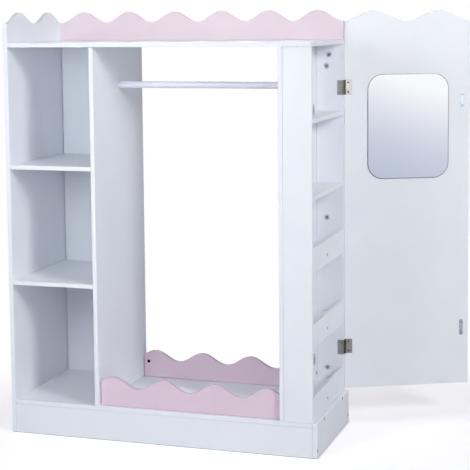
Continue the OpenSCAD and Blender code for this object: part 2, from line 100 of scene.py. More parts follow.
def add_node(tree: Tree, kind: str, settings: dict, output: Union[int, str] = 0) -> Optional[Socket]:
    """Adds one node and sets it up.

    Args:
        tree: The node tree that gets it.
        kind: The node's type, such as "ShaderNodeTexNoise".
        settings: Names of properties, or names or numbers of inputs, and what each gets: a value, or
            the socket that feeds it.
        output: Name or number of the output that is wanted.

    Returns:
        That output, or nothing where the node has none.
    """
    node = tree.nodes.new(kind)
    for key, value in settings.items():
        if isinstance(key, str) and key not in node.inputs:
            setattr(node, key, value)
        elif isinstance(value, Socket):
            tree.links.new(value, node.inputs[key])
        else:
            node.inputs[key].default_value = value
    return node.outputs[output] if node.outputs else None


def emptied(owner: Union[bpy.types.Material, bpy.types.World]) -> Tree:
    """Empties the node tree of a material or world.

    Args:
        owner: The material or world.

    Returns:
        Its node tree, with no node left in it.
    """
    owner.use_nodes = True
    owner.node_tree.nodes.clear()
    return owner.node_tree


def blend(tree: Tree, factor: Socket, first: Union[Socket, tuple], second: Union[Socket, tuple]) -> Socket:
    """Mixes two colours, each a socket or a linear colour, by a factor."""
    return add_node(tree, "ShaderNodeMix", {"data_type": "RGBA", 0: factor, 6: first, 7: second}, 2)


def mixed(tree: Tree, factor: Socket, first: Socket, second: Socket) -> Socket:
    """Mixes two shaders by a factor."""
    return add_node(tree, "ShaderNodeMixShader", {0: factor, 1: first, 2: second})


def maths(tree: Tree, operation: str, *values: Union[Socket, float]) -> Socket:
    """Adds a sum or other operation on sockets and numbers."""
    return add_node(tree, "ShaderNodeMath", {"operation": operation, **dict(enumerate(values))})


def along(tree: Tree, place: Socket, way: Point) -> Socket:
    """Gives the distance of a place along a direction."""
    return add_node(tree, "ShaderNodeVectorMath", {"operation": "DOT_PRODUCT", 0: place, 1: way}, "Value")


def mapped(tree: Tree, value: Socket, span: Span, onto: Span = (0.0, 1.0), kind: str = "LINEAR") -> Socket:
    """Maps a value that goes through a span onto another, and stops at its ends.

    Args:
        tree: The node tree.
        value: The socket with the value.
        span: The values that go onto the ends of the other span.
        onto: The other span.
        kind: How it goes from end to end, such as "SMOOTHSTEP".

    Returns:
        The socket with the result.
    """
    settings = {"interpolation_type": kind, "Value": value, "From Min": span[0], "From Max": span[1]}
    return add_node(tree, "ShaderNodeMapRange", {**settings, "To Min": onto[0], "To Max": onto[1]})


@dataclass(frozen=True)
class Pattern:
    """Noise in blotches of about size_mm, with octaves of finer detail, stretched finer along some axes."""

    size_mm: float
    detail: float
    stretch: Point = (1, 1, 1)

    def value(self, tree: Tree, place: Socket) -> Socket:
        """Adds the noise, whose values lie around 0.5.

        Args:
            tree: The node tree.
            place: The socket with object coordinates in metres.

        Returns:
            The socket with the noise.
        """
        if self.stretch != (1, 1, 1):
            place = add_node(tree, "ShaderNodeMapping", {"Scale": self.stretch, "Vector": place})
        settings = {"Scale": 1 / (self.size_mm * MM), "Detail": self.detail, "Roughness": 0.55}
        return add_node(tree, "ShaderNodeTexNoise", {**settings, "Vector": place})

    def spread(self, tree: Tree, place: Socket, low: float = 0.0, high: float = 1.0) -> Socket:
        """Adds the noise, which lies mostly from 0.3 to 0.7, mapped onto low to high."""
        return mapped(tree, self.value(tree, place), (0.3, 0.7), (low, high))


Relief = Sequence[Tuple[Pattern, float, float]]


@dataclass(frozen=True)
class Finish:
    """A finish that makes its own material: two tones that cloud into each other, and a relief.

    The tone of edges, where there is one, shows as much as a piece's edge attribute says.
    """

    name: str
    light: str
    dark: str
    edge: Optional[str] = None
    roughness: float = 0.5
    # How far the roughness falls below that and rises above it, and the pattern that it follows.
    uneven: Span = (0.06, 0.06)
    gloss: Optional[Pattern] = None
    cloud: Pattern = Pattern(14.0, 2.0)
    # Layers of relief, each with its pattern, its strength and its height in millimetres.
    relief: Relief = ()
    metallic: float = 0.0
    ior: Optional[float] = None
    # How much rougher an edge is.
    matt_edge: float = 0.0

    def material(self) -> bpy.types.Material:
        """Returns the material of this finish, made the first time that it is asked for."""
        found = bpy.data.materials.get(self.name)
        if found is None:
            found = bpy.data.materials.new(self.name)
            tree = emptied(found)
            add_node(tree, "ShaderNodeOutputMaterial", {"Surface": self.shader(tree)})
        return found

    def shader(self, tree: Tree) -> Socket:
        """Adds the tones, the unevenness of the gloss, the relief and the shader that they feed.

        Args:
            tree: The material's node tree.

        Returns:
            The shader's socket.
        """
        place = add_node(tree, "ShaderNodeTexCoord", {}, "Object")
        at_edge = add_node(tree, "ShaderNodeAttribute", {"attribute_name": "edge"}, "Fac")
        colour = blend(tree, self.cloud.spread(tree, place), linear(self.dark), linear(self.light))
        if self.edge:
            colour = blend(tree, at_edge, colour, linear(self.edge))
        rough = self.roughness
        if self.gloss:
            rough = self.gloss.spread(tree, place, rough - self.uneven[0], rough + self.uneven[1])
        if self.matt_edge:
            rough = maths(tree, "MULTIPLY_ADD", at_edge, self.matt_edge, rough)
        inputs = {"Base Color": colour, "Roughness": rough, "Metallic": self.metallic}
        if self.ior:
            inputs["IOR"] = self.ior
        normal = {}
        for pattern, strength, height in self.relief:
            bump = {"Strength": strength, "Distance": height * MM, "Height": pattern.value(tree, place)}
            normal = {"Normal": add_node(tree, "ShaderNodeBump", {**bump, **normal})}
        return add_node(tree, "ShaderNodeBsdfPrincipled", {**inputs, **normal})


@dataclass(frozen=True)
class PaintedBoard(Finish):
    """Satin lacquer sprayed on medium-density fibreboard.

    The faces have a faint orange peel and a slow unevenness of tone. The cut edges drink more paint, so
    they are a little duller and more matt.
    """

    roughness: float = 0.42
    uneven: Span = (0.05, 0.05)
    gloss: Pattern = Pattern(28.0, 2.0)
    cloud: Pattern = Pattern(130.0, 3.0)
    # Real orange peel has a pitch near 2 mm. It is drawn at 5 mm, the finest that a render still shows.
    relief: Relief = ((Pattern(5.0, 1.0), 0.12, 0.06), (Pattern(28.0, 1.0), 0.15, 0.25))
    ior: float = 1.48
    matt_edge: float = 0.12


@dataclass(frozen=True)
class PlatedSteel(Finish):
    """Steel stamped or turned and then plated, with a faint drawn grain and soft cloudy dullness.

    Sheared edges keep less plating, and go the edge's tone there. Where a hinge's sheet is folded and rolled
    into knuckles, that tone is painted shade.
    """

    roughness: float = 0.34
    uneven: Span = (0.06, 0.08)
    # The drawn grain is far finer along two axes than along the third.
    gloss: Pattern = Pattern(6.0, 2.0, (12, 12, 1))
    cloud: Pattern = Pattern(9.0, 3.0)
    relief: Relief = ((Pattern(6.0, 2.0, (12, 12, 1)), 0.15, 0.03),)
    metallic: float = 1.0


@dataclass(frozen=True)
class DieCastZinc(PlatedSteel):
    """Zinc cast in a die: bright and evenly grained on its faces. Its recesses get a dark tone as painted
    shade.
    """

    gloss: Pattern = Pattern(2.0, 2.0)
    relief: Relief = ((Pattern(2.0, 2.0), 0.15, 0.03),)


@dataclass(frozen=True)
class MouldedPlastic(Finish):
    """Injection-moulded plastic with a fine spark-eroded texture, which softens its highlights."""

    gloss: Pattern = Pattern(1.2, 2.0)
    relief: Relief = ((Pattern(1.2, 2.0), 0.2, 0.05),)
    ior: float = 1.5


@dataclass(frozen=True)
class SilveredAcrylic(Finish):
    """Acrylic sheet silvered at the back: a bright mirror with the slow waviness of cast sheet.

    The cut edge and a narrow band of the face inside it take a grey tone: partly the bare cut edge, partly
    painted shade for the sheet's shadow on the door.
    """

    roughness: float = 0.03
    uneven: Span = (0.01, 0.01)
    gloss: Pattern = Pattern(60.0, 1.0)
    cloud: Pattern = Pattern(160.0, 0.0)
    relief: Relief = ((Pattern(160.0, 0.0), 0.05, 0.5),)
    metallic: float = 1.0


@dataclass(frozen=True)
class BareBeech(Finish):
    """Turned beech, unfinished: pale and pinkish, with bands of growth and short dark flecks."""

    roughness: float = 0.7
    cloud: Pattern = Pattern(3.0, 3.0, (1, 1, 4))
    relief: Relief = ((Pattern(1.5, 1.0, (3, 3, 1)), 0.3, 0.05),)


WHITE_PAINT = PaintedBoard("satin_white_lacquer", light="#F2F5FB", dark="#EFF2F9", edge="#F1F4FA")
# Its cut edges are a far darker lilac than its faces: painted shade, for the dark line along the bay rails'
# crests.
PINK_PAINT = PaintedBoard("satin_lilac_lacquer", light="#E9D2E0", dark="#E6CFDD", edge="#C2AABB")
# The top rail is given a paler lilac than the bay's rails, edges and all: painted light, for the extra light
# that the top rail gets from the white top board below it.
PINK_PAINT_WITH_PAINTED_LIGHT = PaintedBoard("satin_lilac_lacquer_painted_light", light="#EEDDE7", dark="#EBD9E4", edge="#E6D3DF")
RAIL_PAINT = PaintedBoard(
    "white_lacquered_round_rail", light="#EFEFF8", dark="#ECECF5", edge="#EDEDF6", roughness=0.32
)
ZINC = PlatedSteel("bright_zinc_plate", light="#C4C7CC", dark="#A8ABB1", edge="#8E9197")
# Its dark edge tone is painted shade in the cam nuts' recesses.
DIE_CAST = DieCastZinc("zinc_die_casting", light="#E4E6EC", dark="#D0D3DA", edge="#34363C", roughness=0.36)
# Its dark brown edge tone is painted shade on the hinges' folds and knuckles, where they meet in a shadowed
# gap.
NICKEL = PlatedSteel("satin_nickel_plate", light="#CBC7C1", dark="#BDB9B2", edge="#6E675B", roughness=0.2)
BLACK_OXIDE = PlatedSteel(
    "black_oxide_steel", light="#2C2C32", dark="#242429", edge="#202025", roughness=0.5
)
# The screws on the door's hinge leaves are the darkest of all, and read as dots on the pale nickel.
BLACKENED = PlatedSteel(
    "phosphated_black_steel", light="#101014", dark="#0C0C10", edge="#09090B", roughness=0.62
)
DULL_ZINC = PlatedSteel("dull_zinc_plate", light="#8E9199", dark="#80838B", edge="#70737B", roughness=0.42)
STRIKE_STEEL = PlatedSteel(
    "blue_passivated_zinc", light="#DFE9F2", dark="#D3DEEA", edge="#98A1B1", roughness=0.26
)
POLE_STEEL = PlatedSteel(
    "ground_pole_steel", light="#B9BABF", dark="#A2A3A9", edge="#8E8F95", roughness=0.36
)
CATCH_PLASTIC = MouldedPlastic("grey_moulded_polyamide", light="#BCBFC7", dark="#B4B7BF")
FOAM_TAPE = MouldedPlastic("grey_foam_tape", light="#9A9A9C", dark="#8E8E90", roughness=0.85)
# Its grey edge tone is partly the bare cut edge and partly painted shade: the dark outline of the sheet's
# shadow on the door.
MIRROR = SilveredAcrylic("silvered_acrylic", light="#FAFBFE", dark="#F8F9FD", edge="#7E808C")
BEECH = BareBeech("bare_beech", light="#DDBB8C", dark="#B98A58")


# ---------------------------------------------------------------- surfaces


def turned(angle: float) -> np.ndarray:
    """Returns the matrix of a turn about the third axis, for coordinates that are written as rows."""
    cosine, sine = math.cos(angle), math.sin(angle)
    return np.array([[cosine, sine, 0], [-sine, cosine, 0], [0, 0, 1]])


def around(angle: np.ndarray) -> np.ndarray:
    """Returns the points of the unit circle at some angles."""
    return np.stack([np.cos(angle), np.sin(angle)], axis=-1)


def full_turn(count: int) -> np.ndarray:
    """Returns evenly spaced angles, once round from 0."""
    return np.arange(count) / count * TAU


def extent(points: np.ndarray) -> Tuple[np.ndarray, np.ndarray]:
    """Returns the lowest and the highest corner of some points."""
    return points.min(axis=0), points.max(axis=0)


def smooth_step(value: np.ndarray, low: float, high: float) -> np.ndarray:
    """Rises smoothly from 0 at low to 1 at high."""
    t = np.clip((value - low) / (high - low), 0, 1)
    return t * t * (3 - 2 * t)


def facing(direction: Sequence[float], spin: float = 0.0) -> np.ndarray:
    """Gives three right-handed axes whose third is a direction.

    Args:
        direction: The direction, of length 1.
        spin: How far the first two are turned about it, in radians.

    Returns:
        The axes, one a row.
    """
    third = np.array(direction, float)
    helper = np.array([0, 0, 1.0]) if abs(third[2]) < 0.9 else np.array([1.0, 0, 0])
    first = np.cross(helper, third)
    first /= np.linalg.norm(first)
    return turned(spin) @ np.array([first, np.cross(third, first), third])


@dataclass
class Shell:
    """A closed surface: its points, its faces, and how much of each point lies on a cut edge."""

    points: np.ndarray
    faces: List[Sequence[int]]
    edge: np.ndarray

    def moved(self, origin: Sequence[float], axes: Sequence[Sequence[float]]) -> "Shell":
        """Carries the shell into a frame of its own.

        Args:
            origin: Where the shell's own origin goes.
            axes: The directions of its three axes. A left-handed set turns its faces round again.

        Returns:
            The moved shell.
        """
        basis = np.array(axes, float)
        faces = self.faces if np.linalg.det(basis) > 0 else [face[::-1] for face in self.faces]
        return Shell(self.points @ basis + np.array(origin, float), faces, self.edge)

    def with_painted_shade(self, amount: float) -> "Shell":
        """Returns the shell with all of its points given at least the amount of edge tone, as painted shade.
        """
        return Shell(self.points, self.faces, np.maximum(self.edge, amount))


def joined(shells: Iterable[Shell]) -> Shell:
    """Puts several shells into one.

    Args:
        shells: The shells.

    Returns:
        The shell of them all, with their faces renumbered.
    """
    shells = list(shells)
    starts = np.cumsum([0] + [len(shell.points) for shell in shells]).tolist()
    placed = zip(shells, starts)
    faces = [[index + start for index in face] for shell, start in placed for face in shell.faces]
    points = np.concatenate([shell.points for shell in shells])
    return Shell(points, faces, np.concatenate([shell.edge for shell in shells]))


def grid_faces(rows: int, columns: int) -> np.ndarray:
    """Numbers the quads of a grid of points that closes on itself along its columns.

    Args:
        rows: Rows of points.
        columns: Points in a row.

    Returns:
        Four point numbers a quad.
    """
    row = np.arange(rows - 1)[:, None] * columns
    column = np.arange(columns)[None, :]
    after = (column + 1) % columns
    corners = (row + column, row + after, row + columns + after, row + columns + column)
    return np.stack(corners, axis=-1).reshape(-1, 4)


def with_soft_corners(
    points: np.ndarray, corners: Sequence[int], reach: float, steps: int = 4
) -> np.ndarray:
    """Rounds some corners of a closed outline.

    Each corner becomes a quadratic curve that leaves one side and joins the next at the reach from it.

    Args:
        points: The outline, counter-clockwise, one row a point.
        corners: Which of its points are corners.
        reach: Distance from the corner at which the curve starts.
        steps: Segments in each curve.

    Returns:
        The outline with its corners rounded.
    """
    t = np.linspace(0, 1, steps + 1)[:, None]
    pieces = []
    for index, point in enumerate(points):
        if index not in corners:
            pieces.append(point[None])
            continue
        back = points[index - 1] - point
        ahead = points[(index + 1) % len(points)] - point
        start = point + back / np.linalg.norm(back) * reach
        end = point + ahead / np.linalg.norm(ahead) * reach
        pieces.append((1 - t) ** 2 * start + 2 * t * (1 - t) * point + t**2 * end)
    return np.concatenate(pieces)


def rectangle(low: Sequence[float], high: Sequence[float], reach: float) -> np.ndarray:
    """Outlines a rectangle with soft corners, counter-clockwise."""
    corners = np.array([[low[0], low[1]], [high[0], low[1]], [high[0], high[1]], [low[0], high[1]]], float)
    return with_soft_corners(corners, range(4), reach)


def arc_rectangle(width: float, height: float, radius: float, steps: int) -> np.ndarray:
    """Outlines a rectangle with true quarter circles at its corners, centred on the origin.

    Args:
        width: Its width.
        height: Its height.
        radius: Radius of its corners.
        steps: Segments in each corner.

    Returns:
        The outline, counter-clockwise.
    """
    turn = (np.arange(4)[:, None] + np.linspace(0, 1, steps + 1)) * TAU / 4
    sides = np.array([[1, 1], [-1, 1], [-1, -1], [1, -1]]) * (np.array([width, height]) / 2 - radius)
    return (sides[:, None, :] + around(turn) * radius).reshape(-1, 2)


def outline_normals(outline: np.ndarray) -> np.ndarray:
    """Finds the outward normals of an outline, from the chord across each point.

    Args:
        outline: The outline, counter-clockwise.

    Returns:
        A normal for each point.
    """
    chord = np.roll(outline, -1, axis=0) - np.roll(outline, 1, axis=0)
    chord /= np.linalg.norm(chord, axis=1, keepdims=True)
    return np.stack([chord[:, 1], -chord[:, 0]], axis=1)


def quarter_round(ease: float, steps: int) -> Tuple[np.ndarray, np.ndarray]:
    """Gives an eased edge's inset, ease * (1 - sin t), and its rise, ease * (1 - cos t)."""
    turn = np.linspace(0, math.pi / 2, steps + 1)
    return ease * (1 - np.sin(turn)), ease * (1 - np.cos(turn))


@dataclass
class Pocket:
    """A round blind recess in one face of a slab."""

    centre: Tuple[float, float]
    radius: float
    depth: float
    high: bool


def capped(
    ring: np.ndarray, pockets: Sequence[Pocket], turns: int = 28
) -> Tuple[np.ndarray, List[List[int]]]:
    """Fills a flat outline, leaving round holes in it.

    Args:
        ring: The outline, counter-clockwise.
        pockets: The recesses whose mouths stay open.
        turns: Points round each mouth.

    Returns:
        The points of the mouths, one after another, and triangles that count from the outline's first
        point and go on into the mouths' points. All of them turn counter-clockwise.
    """
    circle = around(full_turn(turns))
    mouths = np.concatenate([[pocket.centre] + pocket.radius * circle for pocket in pockets])
    everything = np.concatenate([ring, mouths])
    loops = [list(range(len(ring)))]
    loops += [list(range(len(ring) + k * turns, len(ring) + (k + 1) * turns)) for k in range(len(pockets))]
    found = delaunay_2d_cdt([Vector(p) for p in everything.tolist()], [], loops, 2, 1e-7)
    source = [origins[0] for origins in found[3]]
    faces = np.array([[source[index] for index in face] for face in found[2]])
    a, b, c = (everything[faces[:, k]] for k in range(3))
    area = (b[:, 0] - a[:, 0]) * (c[:, 1] - a[:, 1]) - (b[:, 1] - a[:, 1]) * (c[:, 0] - a[:, 0])
    faces = np.where((area < 0)[:, None], faces[:, ::-1], faces)
    return mouths, faces[np.abs(area) > 1e-14].tolist()


def slab(
    outline: np.ndarray, thickness: float, ease: float, pockets: Sequence[Pocket] = (), shade_band: float = 0.0
) -> Shell:
    """Builds a sheet of even thickness with eased edges.

    A quarter round of radius ease is carried along the outline at both faces: at an angle t it lies
    ease * (1 - sin t) inside the outline and ease * (1 - cos t) from the face.

    Args:
        outline: The outline in the sheet's plane, counter-clockwise.
        thickness: Thickness of the sheet, along its third axis from 0.
        ease: Radius of the eased edges.
        pockets: Round recesses in its faces.
        shade_band: Width of a band inside the eased edge that takes the edge's tone too, as painted shade.

    Returns:
        The closed shell.
    """
    inset, rise = quarter_round(ease, 3)
    inset = np.concatenate([inset, inset[::-1]])
    rise = np.concatenate([rise, thickness - rise[::-1]])
    side = 1 - inset / ease
    if shade_band:
        inside = [ease + shade_band * 1.2, ease + shade_band]
        inset = np.concatenate([inside, inset, inside[::-1]])
        rise = np.concatenate([[0, 0], rise, [thickness, thickness]])
        side = np.concatenate([[0], np.ones(len(side) + 2), [0]])
    rows, columns = len(inset), len(outline)
    flat = outline[None] - outline_normals(outline)[None] * inset[:, None, None]
    height = np.broadcast_to(rise[:, None, None], (rows, columns, 1))
    points = [np.concatenate([flat, height], axis=2).reshape(-1, 3)]
    edge = [np.repeat(side, columns)]
    faces = grid_faces(rows, columns).tolist()
    count = rows * columns
    for high in (False, True):
        first = (rows - 1) * columns if high else 0
        level = thickness if high else 0.0
        own = [pocket for pocket in pockets if pocket.high == high]
        if not own:
            loop = list(range(first, first + columns))
            faces.append(loop if high else loop[::-1])
            continue
        mouths, triangles = capped(flat[rows - 1 if high else 0], own)
        turns = len(mouths) // len(own)
        k = np.arange(len(mouths))
        renumber = np.concatenate([np.arange(columns) + first, k + count])
        floors = level + np.repeat([(-1 if high else 1) * pocket.depth for pocket in own], turns)
        points.append(np.column_stack([mouths, np.full(len(mouths), level)]))
        points.append(np.column_stack([mouths, floors]))
        edge.append(np.zeros(2 * len(mouths)))
        after = k // turns * turns + (k + 1) % turns
        walls = np.stack([k, after, after + len(mouths), k + len(mouths)], axis=1) + count
        bottoms = k.reshape(-1, turns) + count + len(mouths)
        made = renumber[np.array(triangles)].tolist() + walls.tolist() + bottoms.tolist()
        faces.extend(made if high else [face[::-1] for face in made])
        count += 2 * len(mouths)
    return Shell(np.concatenate(points), faces, np.concatenate(edge))


def lathe(bands: Sequence[Tuple[np.ndarray, np.ndarray]], turns: int) -> Shell:
    """Turns a profile about the third axis, from a pole at its low end to a pole at its high end.

    Point (i, j) lies at radius[i] from the axis, at the angle 2 pi j / turns and at height[i]. Either
    array may also hold a value of its own for every angle, which cuts recesses, flutes and threads.

    Args:
        bands: The radius and the height of each band of rows, as columns, whole grids or one number.
        turns: Points round each row.

    Returns:
        The closed shell.
    """
    grids = [np.broadcast_arrays(radius, height, np.zeros((1, turns))) for radius, height in bands]
    wide, tall = (np.concatenate([grid[k] for grid in grids]) for k in range(2))
    circle = around(full_turn(turns))
    body = np.concatenate([wide[..., None] * circle, tall[..., None]], axis=-1).reshape(-1, 3)
    poles = np.array([[0, 0, tall[0].mean()], [0, 0, tall[-1].mean()]])
    last = len(body) - turns
    k = np.arange(turns)
    after = (k + 1) % turns
    low = np.stack([np.full(turns, len(body)), after, k], axis=1)
    high = np.stack([np.full(turns, len(body) + 1), last + k, last + after], axis=1)
    faces = grid_faces(len(wide), turns).tolist() + low.tolist() + high.tolist()
    return Shell(np.concatenate([body, poles]), faces, np.zeros(len(body) + 2))


def thread(height: np.ndarray, angle: np.ndarray, pitch: float) -> np.ndarray:
    """Returns a triangle wave of height / pitch - angle / 2 pi: 1 on a crest and 0 in the groove."""
    return np.abs(((height / pitch - angle / TAU) % 1.0) * 2 - 1)


def scaled(span: Span, size: float) -> Span:
    """Returns a span whose ends are shares of a size, as lengths."""
    return span[0] * size, span[1] * size


def across_flats(radius: np.ndarray, angle: np.ndarray) -> np.ndarray:
    """Returns how far each place lies from the middle, square to the nearest side of a hexagon."""
    return radius * np.cos((angle % (TAU / 6)) - TAU / 12)


def cross_recess(radius: np.ndarray, angle: np.ndarray, arm: Span, end: Span) -> np.ndarray:
    """Draws the cross of a driver's recess, which falls to its depth over smooth steps.

    Args:
        radius: Each place's distance from the middle.
        angle: Each place's angle.
        arm: Half the arms' width at the bottom of their walls and at the top.
        end: The arms' reach at the bottom of their ends and at the top.

    Returns:
        1 in the cross and 0 outside it.
    """
    side = np.minimum(np.abs(radius * np.cos(angle)), np.abs(radius * np.sin(angle)))
    return (1 - smooth_step(side, *arm)) * (1 - smooth_step(radius, *end))


# ---------------------------------------------------------------- reading the frame


class Body(Enum):
    """The two bodies that pieces ride on."""

    UNIT = "unit"
    DOOR = "door"


JOINT = frame["joints"][0]
PIN = np.array(JOINT["pos_m"], float)
OPEN_ANGLE = -math.radians(JOINT["range_deg"][0])


def about_pin(points: np.ndarray, angle: float) -> np.ndarray:
    """Turns points about the hinge pin by an angle in radians."""
    return (points - PIN) @ turned(angle) + PIN


def node_points(node: str, body: Body) -> Tuple[np.ndarray, np.ndarray]:
    """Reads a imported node's mesh, with the door swung shut.

    Args:
        node: The node's name.
        body: The body that it rides on.

    Returns:
        Its points and its triangles.
    """
    mesh = frame["nodes"][node].data
    points = np.empty(len(mesh.vertices) * 3)
    mesh.vertices.foreach_get("co", points)
    corners = np.empty(len(mesh.loops), int)
    mesh.loops.foreach_get("vertex_index", corners)
    points = points.reshape(-1, 3)
    if body is Body.DOOR:
        points = about_pin(points, -OPEN_ANGLE)
    return points, corners.reshape(-1, 3)


def box_of(node: str, body: Body = Body.UNIT) -> Tuple[np.ndarray, np.ndarray]:
    """Reads a node's box, with the door swung shut.

    Args:
        node: The node's name.
        body: The body that it belongs to.

    Returns:
        Its lowest and its highest corner.
    """
    if body is Body.DOOR:
        return extent(node_points(node, body)[0])
    return tuple(np.array(corner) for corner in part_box(node))


def solids(node: str, body: Body = Body.UNIT) -> List[np.ndarray]:
    """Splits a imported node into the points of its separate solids.

    Triangles that share a place share a label, and each pass spreads the lowest label over a triangle,
    until every solid has one label of its own.

    Args:
        node: The node's name.
        body: The body that it rides on.

    Returns:
        The points of each solid, from the lowest solid up.
    """
    points, triangles = node_points(node, body)
    places, index = np.unique(np.round(points, 6), axis=0, return_inverse=True)
    corners = index.reshape(-1)[triangles]
    label = np.arange(len(places))
    while True:
        lower = label.copy()
        np.minimum.at(lower, corners, label[corners].min(axis=1)[:, None])
        lower = lower[lower]
        if np.array_equal(lower, label):
            break
        label = lower
    found = [places[label == name] for name in np.unique(label)]
    return sorted(found, key=lambda cloud: (round(cloud[:, 2].mean(), 3), round(cloud[:, 1].mean(), 3)))


@dataclass
class Seat:
    """A round recess for a fastener's head: its centre on the face, its way in, its radius and depth."""

    centre: np.ndarray
    way: np.ndarray
    radius: float
    depth: float


@dataclass
class Shaft:
    """The place of one screw, bolt, dowel or nut: its head's centre, the way it points and its size."""

    head: np.ndarray
    way: np.ndarray
    length: float
    width: float

    def seat(self, room: float, depth: float) -> Seat:
        """Returns the recess for its head, with some room round it."""
        return Seat(self.head, self.way, self.width / 2 + room, depth)


def shafts(node: str, body: Body = Body.UNIT) -> List[Shaft]:
    """Reads the place and direction of each fastener in a node.

    The fastener lies along its longest side. Its head is the end whose points reach further from that
    line, or the end with more points where both reach as far.

    Args:
        node: The node's name.
        body: The body that it rides on.

    Returns:
        The place of each fastener.
    """
    found = []
    for cloud in solids(node, body):
        low, high = extent(cloud)
        size = high - low
        axis = int(np.argmax(size))
        centre = (low + high) / 2
        across = np.delete(np.arange(3), axis)
        reach = np.linalg.norm(cloud[:, across] - centre[across], axis=1)
        near_low = cloud[:, axis] < low[axis] + AT_END
        near_high = cloud[:, axis] > high[axis] - AT_END
        scores = [(round(reach[near].max(), 4), near.sum()) for near in (near_low, near_high)]
        way = np.eye(3)[axis] * (1.0 if scores[0] > scores[1] else -1.0)
        found.append(Shaft(centre - way * size[axis] / 2, way, float(size[axis]), float(size[across].max())))
    return found


def facing_nut(cloud: np.ndarray, forward: bool, across: int) -> Shaft:
    """Reads the place of a round nut that lies from front to back.

    Args:
        cloud: The nut's points.
        forward: Whether its open face looks to the front.
        across: The axis along which its width is measured.

    Returns:
        Its place, headed by its open face.
    """
    low, high = extent(cloud)
    head = (low + high) / 2
    head[1] = low[1] if forward else high[1]
    way = np.array([0, 1.0 if forward else -1.0, 0])
    return Shaft(head, way, float(high[1] - low[1]), float(high[across] - low[across]))


# ---------------------------------------------------------------- making pieces


def make_piece(name: str, shell: Shell, finish: Finish, body: Body, node: str) -> None:
    """Makes one object of a shell, dresses it and lets it ride on its body.

    Args:
        name: The piece's name.
        shell: Its surface, in metres, with the door shut.
        finish: Its finish.
        body: The body that it rides on.
        node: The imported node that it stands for.
    """
    points = about_pin(shell.points, OPEN_ANGLE) if body is Body.DOOR else shell.points
    mesh = bpy.data.meshes.new(name)
    mesh.from_pydata(points.tolist(), [], shell.faces)
    edge = mesh.attributes.new("edge", "FLOAT", "POINT")
    edge.data.foreach_set("value", shell.edge.astype(np.float32))
    mesh.polygons.foreach_set("use_smooth", np.ones(len(mesh.polygons), bool))
    mesh.set_sharp_from_angle(angle=SHARP_ANGLE)
    mesh.update()
    mesh.materials.append(finish.material())
    piece = bpy.data.objects.new(name, mesh)
    bpy.context.scene.collection.objects.link(piece)
    weighted = piece.modifiers.new("even_faces", "WEIGHTED_NORMAL")
    weighted.keep_sharp = True
    weighted.weight = FACE_WEIGHT
    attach(piece, body.value)
    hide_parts(node)
    log.info("%s: %d points, rides on %s, replaces %s", name, len(mesh.vertices), body.value, node)


def dress_node(node: str, finish: Finish) -> None:
    """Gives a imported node, which shows as it is, its finish.

    Args:
        node: The node.
        finish: Its finish.
    """
    mesh = frame["nodes"][node].data
    mesh.materials.clear()
    mesh.materials.append(finish.material())
    log.info("%s: keeps its packed mesh, finished as %s", node, finish.name)


def pockets_of(seats: Sequence[Seat], low: np.ndarray, high: np.ndarray, through: int) -> List[Pocket]:
    """Lists the pockets that some seats make in the two faces of a sheet.

    Args:
        seats: The seats. Those that lie in neither face are left out.
        low: The sheet's lowest corner.
        high: Its highest corner.
        through: The axis along its thickness.

    Returns:
        The pockets, measured from the lowest corner.
    """
    plane = [axis for axis in range(3) if axis != through]
    found = []
    for seat in seats:
        from_high = bool(seat.way[through] < 0)
        face = high[through] if from_high else low[through]
        centre = seat.centre[plane]
        inside = np.all(centre > low[plane]) and np.all(centre < high[plane])
        if inside and abs(seat.way[through]) > 0.5 and abs(seat.centre[through] - face) < ON_FACE:
            found.append(Pocket(tuple(centre - low[plane]), seat.radius, seat.depth, from_high))
    return found


def sheet(
    low: Sequence[float],
    high: Sequence[float],
    ease: float,
    corner: float = CORNER,
    seats: Sequence[Seat] = (),
    through: Optional[int] = None,
    outline: Optional[np.ndarray] = None,
) -> Shell:
    """Cuts a flat sheet between two corners, with eased edges and seats for its fasteners.

    Args:
        low: The sheet's lowest corner.
        high: Its highest corner.
        ease: Radius of its eased edges.
        corner: How far from its corners their rounding starts.
        seats: Seats that may lie in its faces.
        through: The axis along its thickness, if that isn't its shortest side.
        outline: Its outline from the lowest corner, if it isn't a rectangle.

    Returns:
        The closed shell.
    """
    low, high = np.array(low, float), np.array(high, float)
    size = high - low
    through = int(np.argmin(size)) if through is None else through
    plane = [axis for axis in range(3) if axis != through]
    outline = rectangle((0, 0), size[plane], corner) if outline is None else outline
    pockets = pockets_of(seats, low, high, through)
    return slab(outline, size[through], ease, pockets).moved(low, np.eye(3)[plane + [through]])


@dataclass
class Scallop:
    """A row of scallops: their mean height above the floor, half their height, their pitch, and how far
    the middle trough lies past the middle of the board.

    The board's far edge may reach past its box, but for notches between given heights above the floor.
    """

    mean: float
    amplitude: float
    pitch: float
    shift: float = 0.0
    flat: float = 1.0
    reach: float = 0.0
    notches: Sequence[Span] = ()

    def outline(self, length: float, foot: float, start: float) -> np.ndarray:
        """Outlines a board whose upper edge is a row of scallops.

        At a distance u along the board, the edge is at mean - amplitude * w above the floor. There w is
        1 - 2 ((1 - c) / 2) ^ flat, and c is cos(2 pi (u - length / 2 - shift) / pitch). Where flat is
        above 1, the troughs are broader than the crests.

        Args:
            length: Length of the board.
            foot: Height of the board's lower edge above the floor.
            start: How far in from its left end the board starts.

        Returns:
            The outline, counter-clockwise from the lower left corner.
        """
        count = int(math.ceil(length / self.pitch * 32))
        far = length + self.reach
        u = np.linspace(far, start, count + 1)
        cosine = np.cos(TAU * (u - length / 2 - self.shift) / self.pitch)
        wave = 1 - 2 * ((1 - cosine) / 2) ** self.flat
        edge = np.stack([u, self.mean - foot - self.amplitude * wave], axis=1)
        steps = [[[far, low], [length, low], [length, high], [far, high]] for low, high in self.notches]
        side = np.array(steps).reshape(-1, 2) - [0, foot]
        points = np.concatenate([[[start, 0], [far, 0]], side, edge])
        return with_soft_corners(points, (*range(3 + len(side)), len(points) - 1), CORNER)


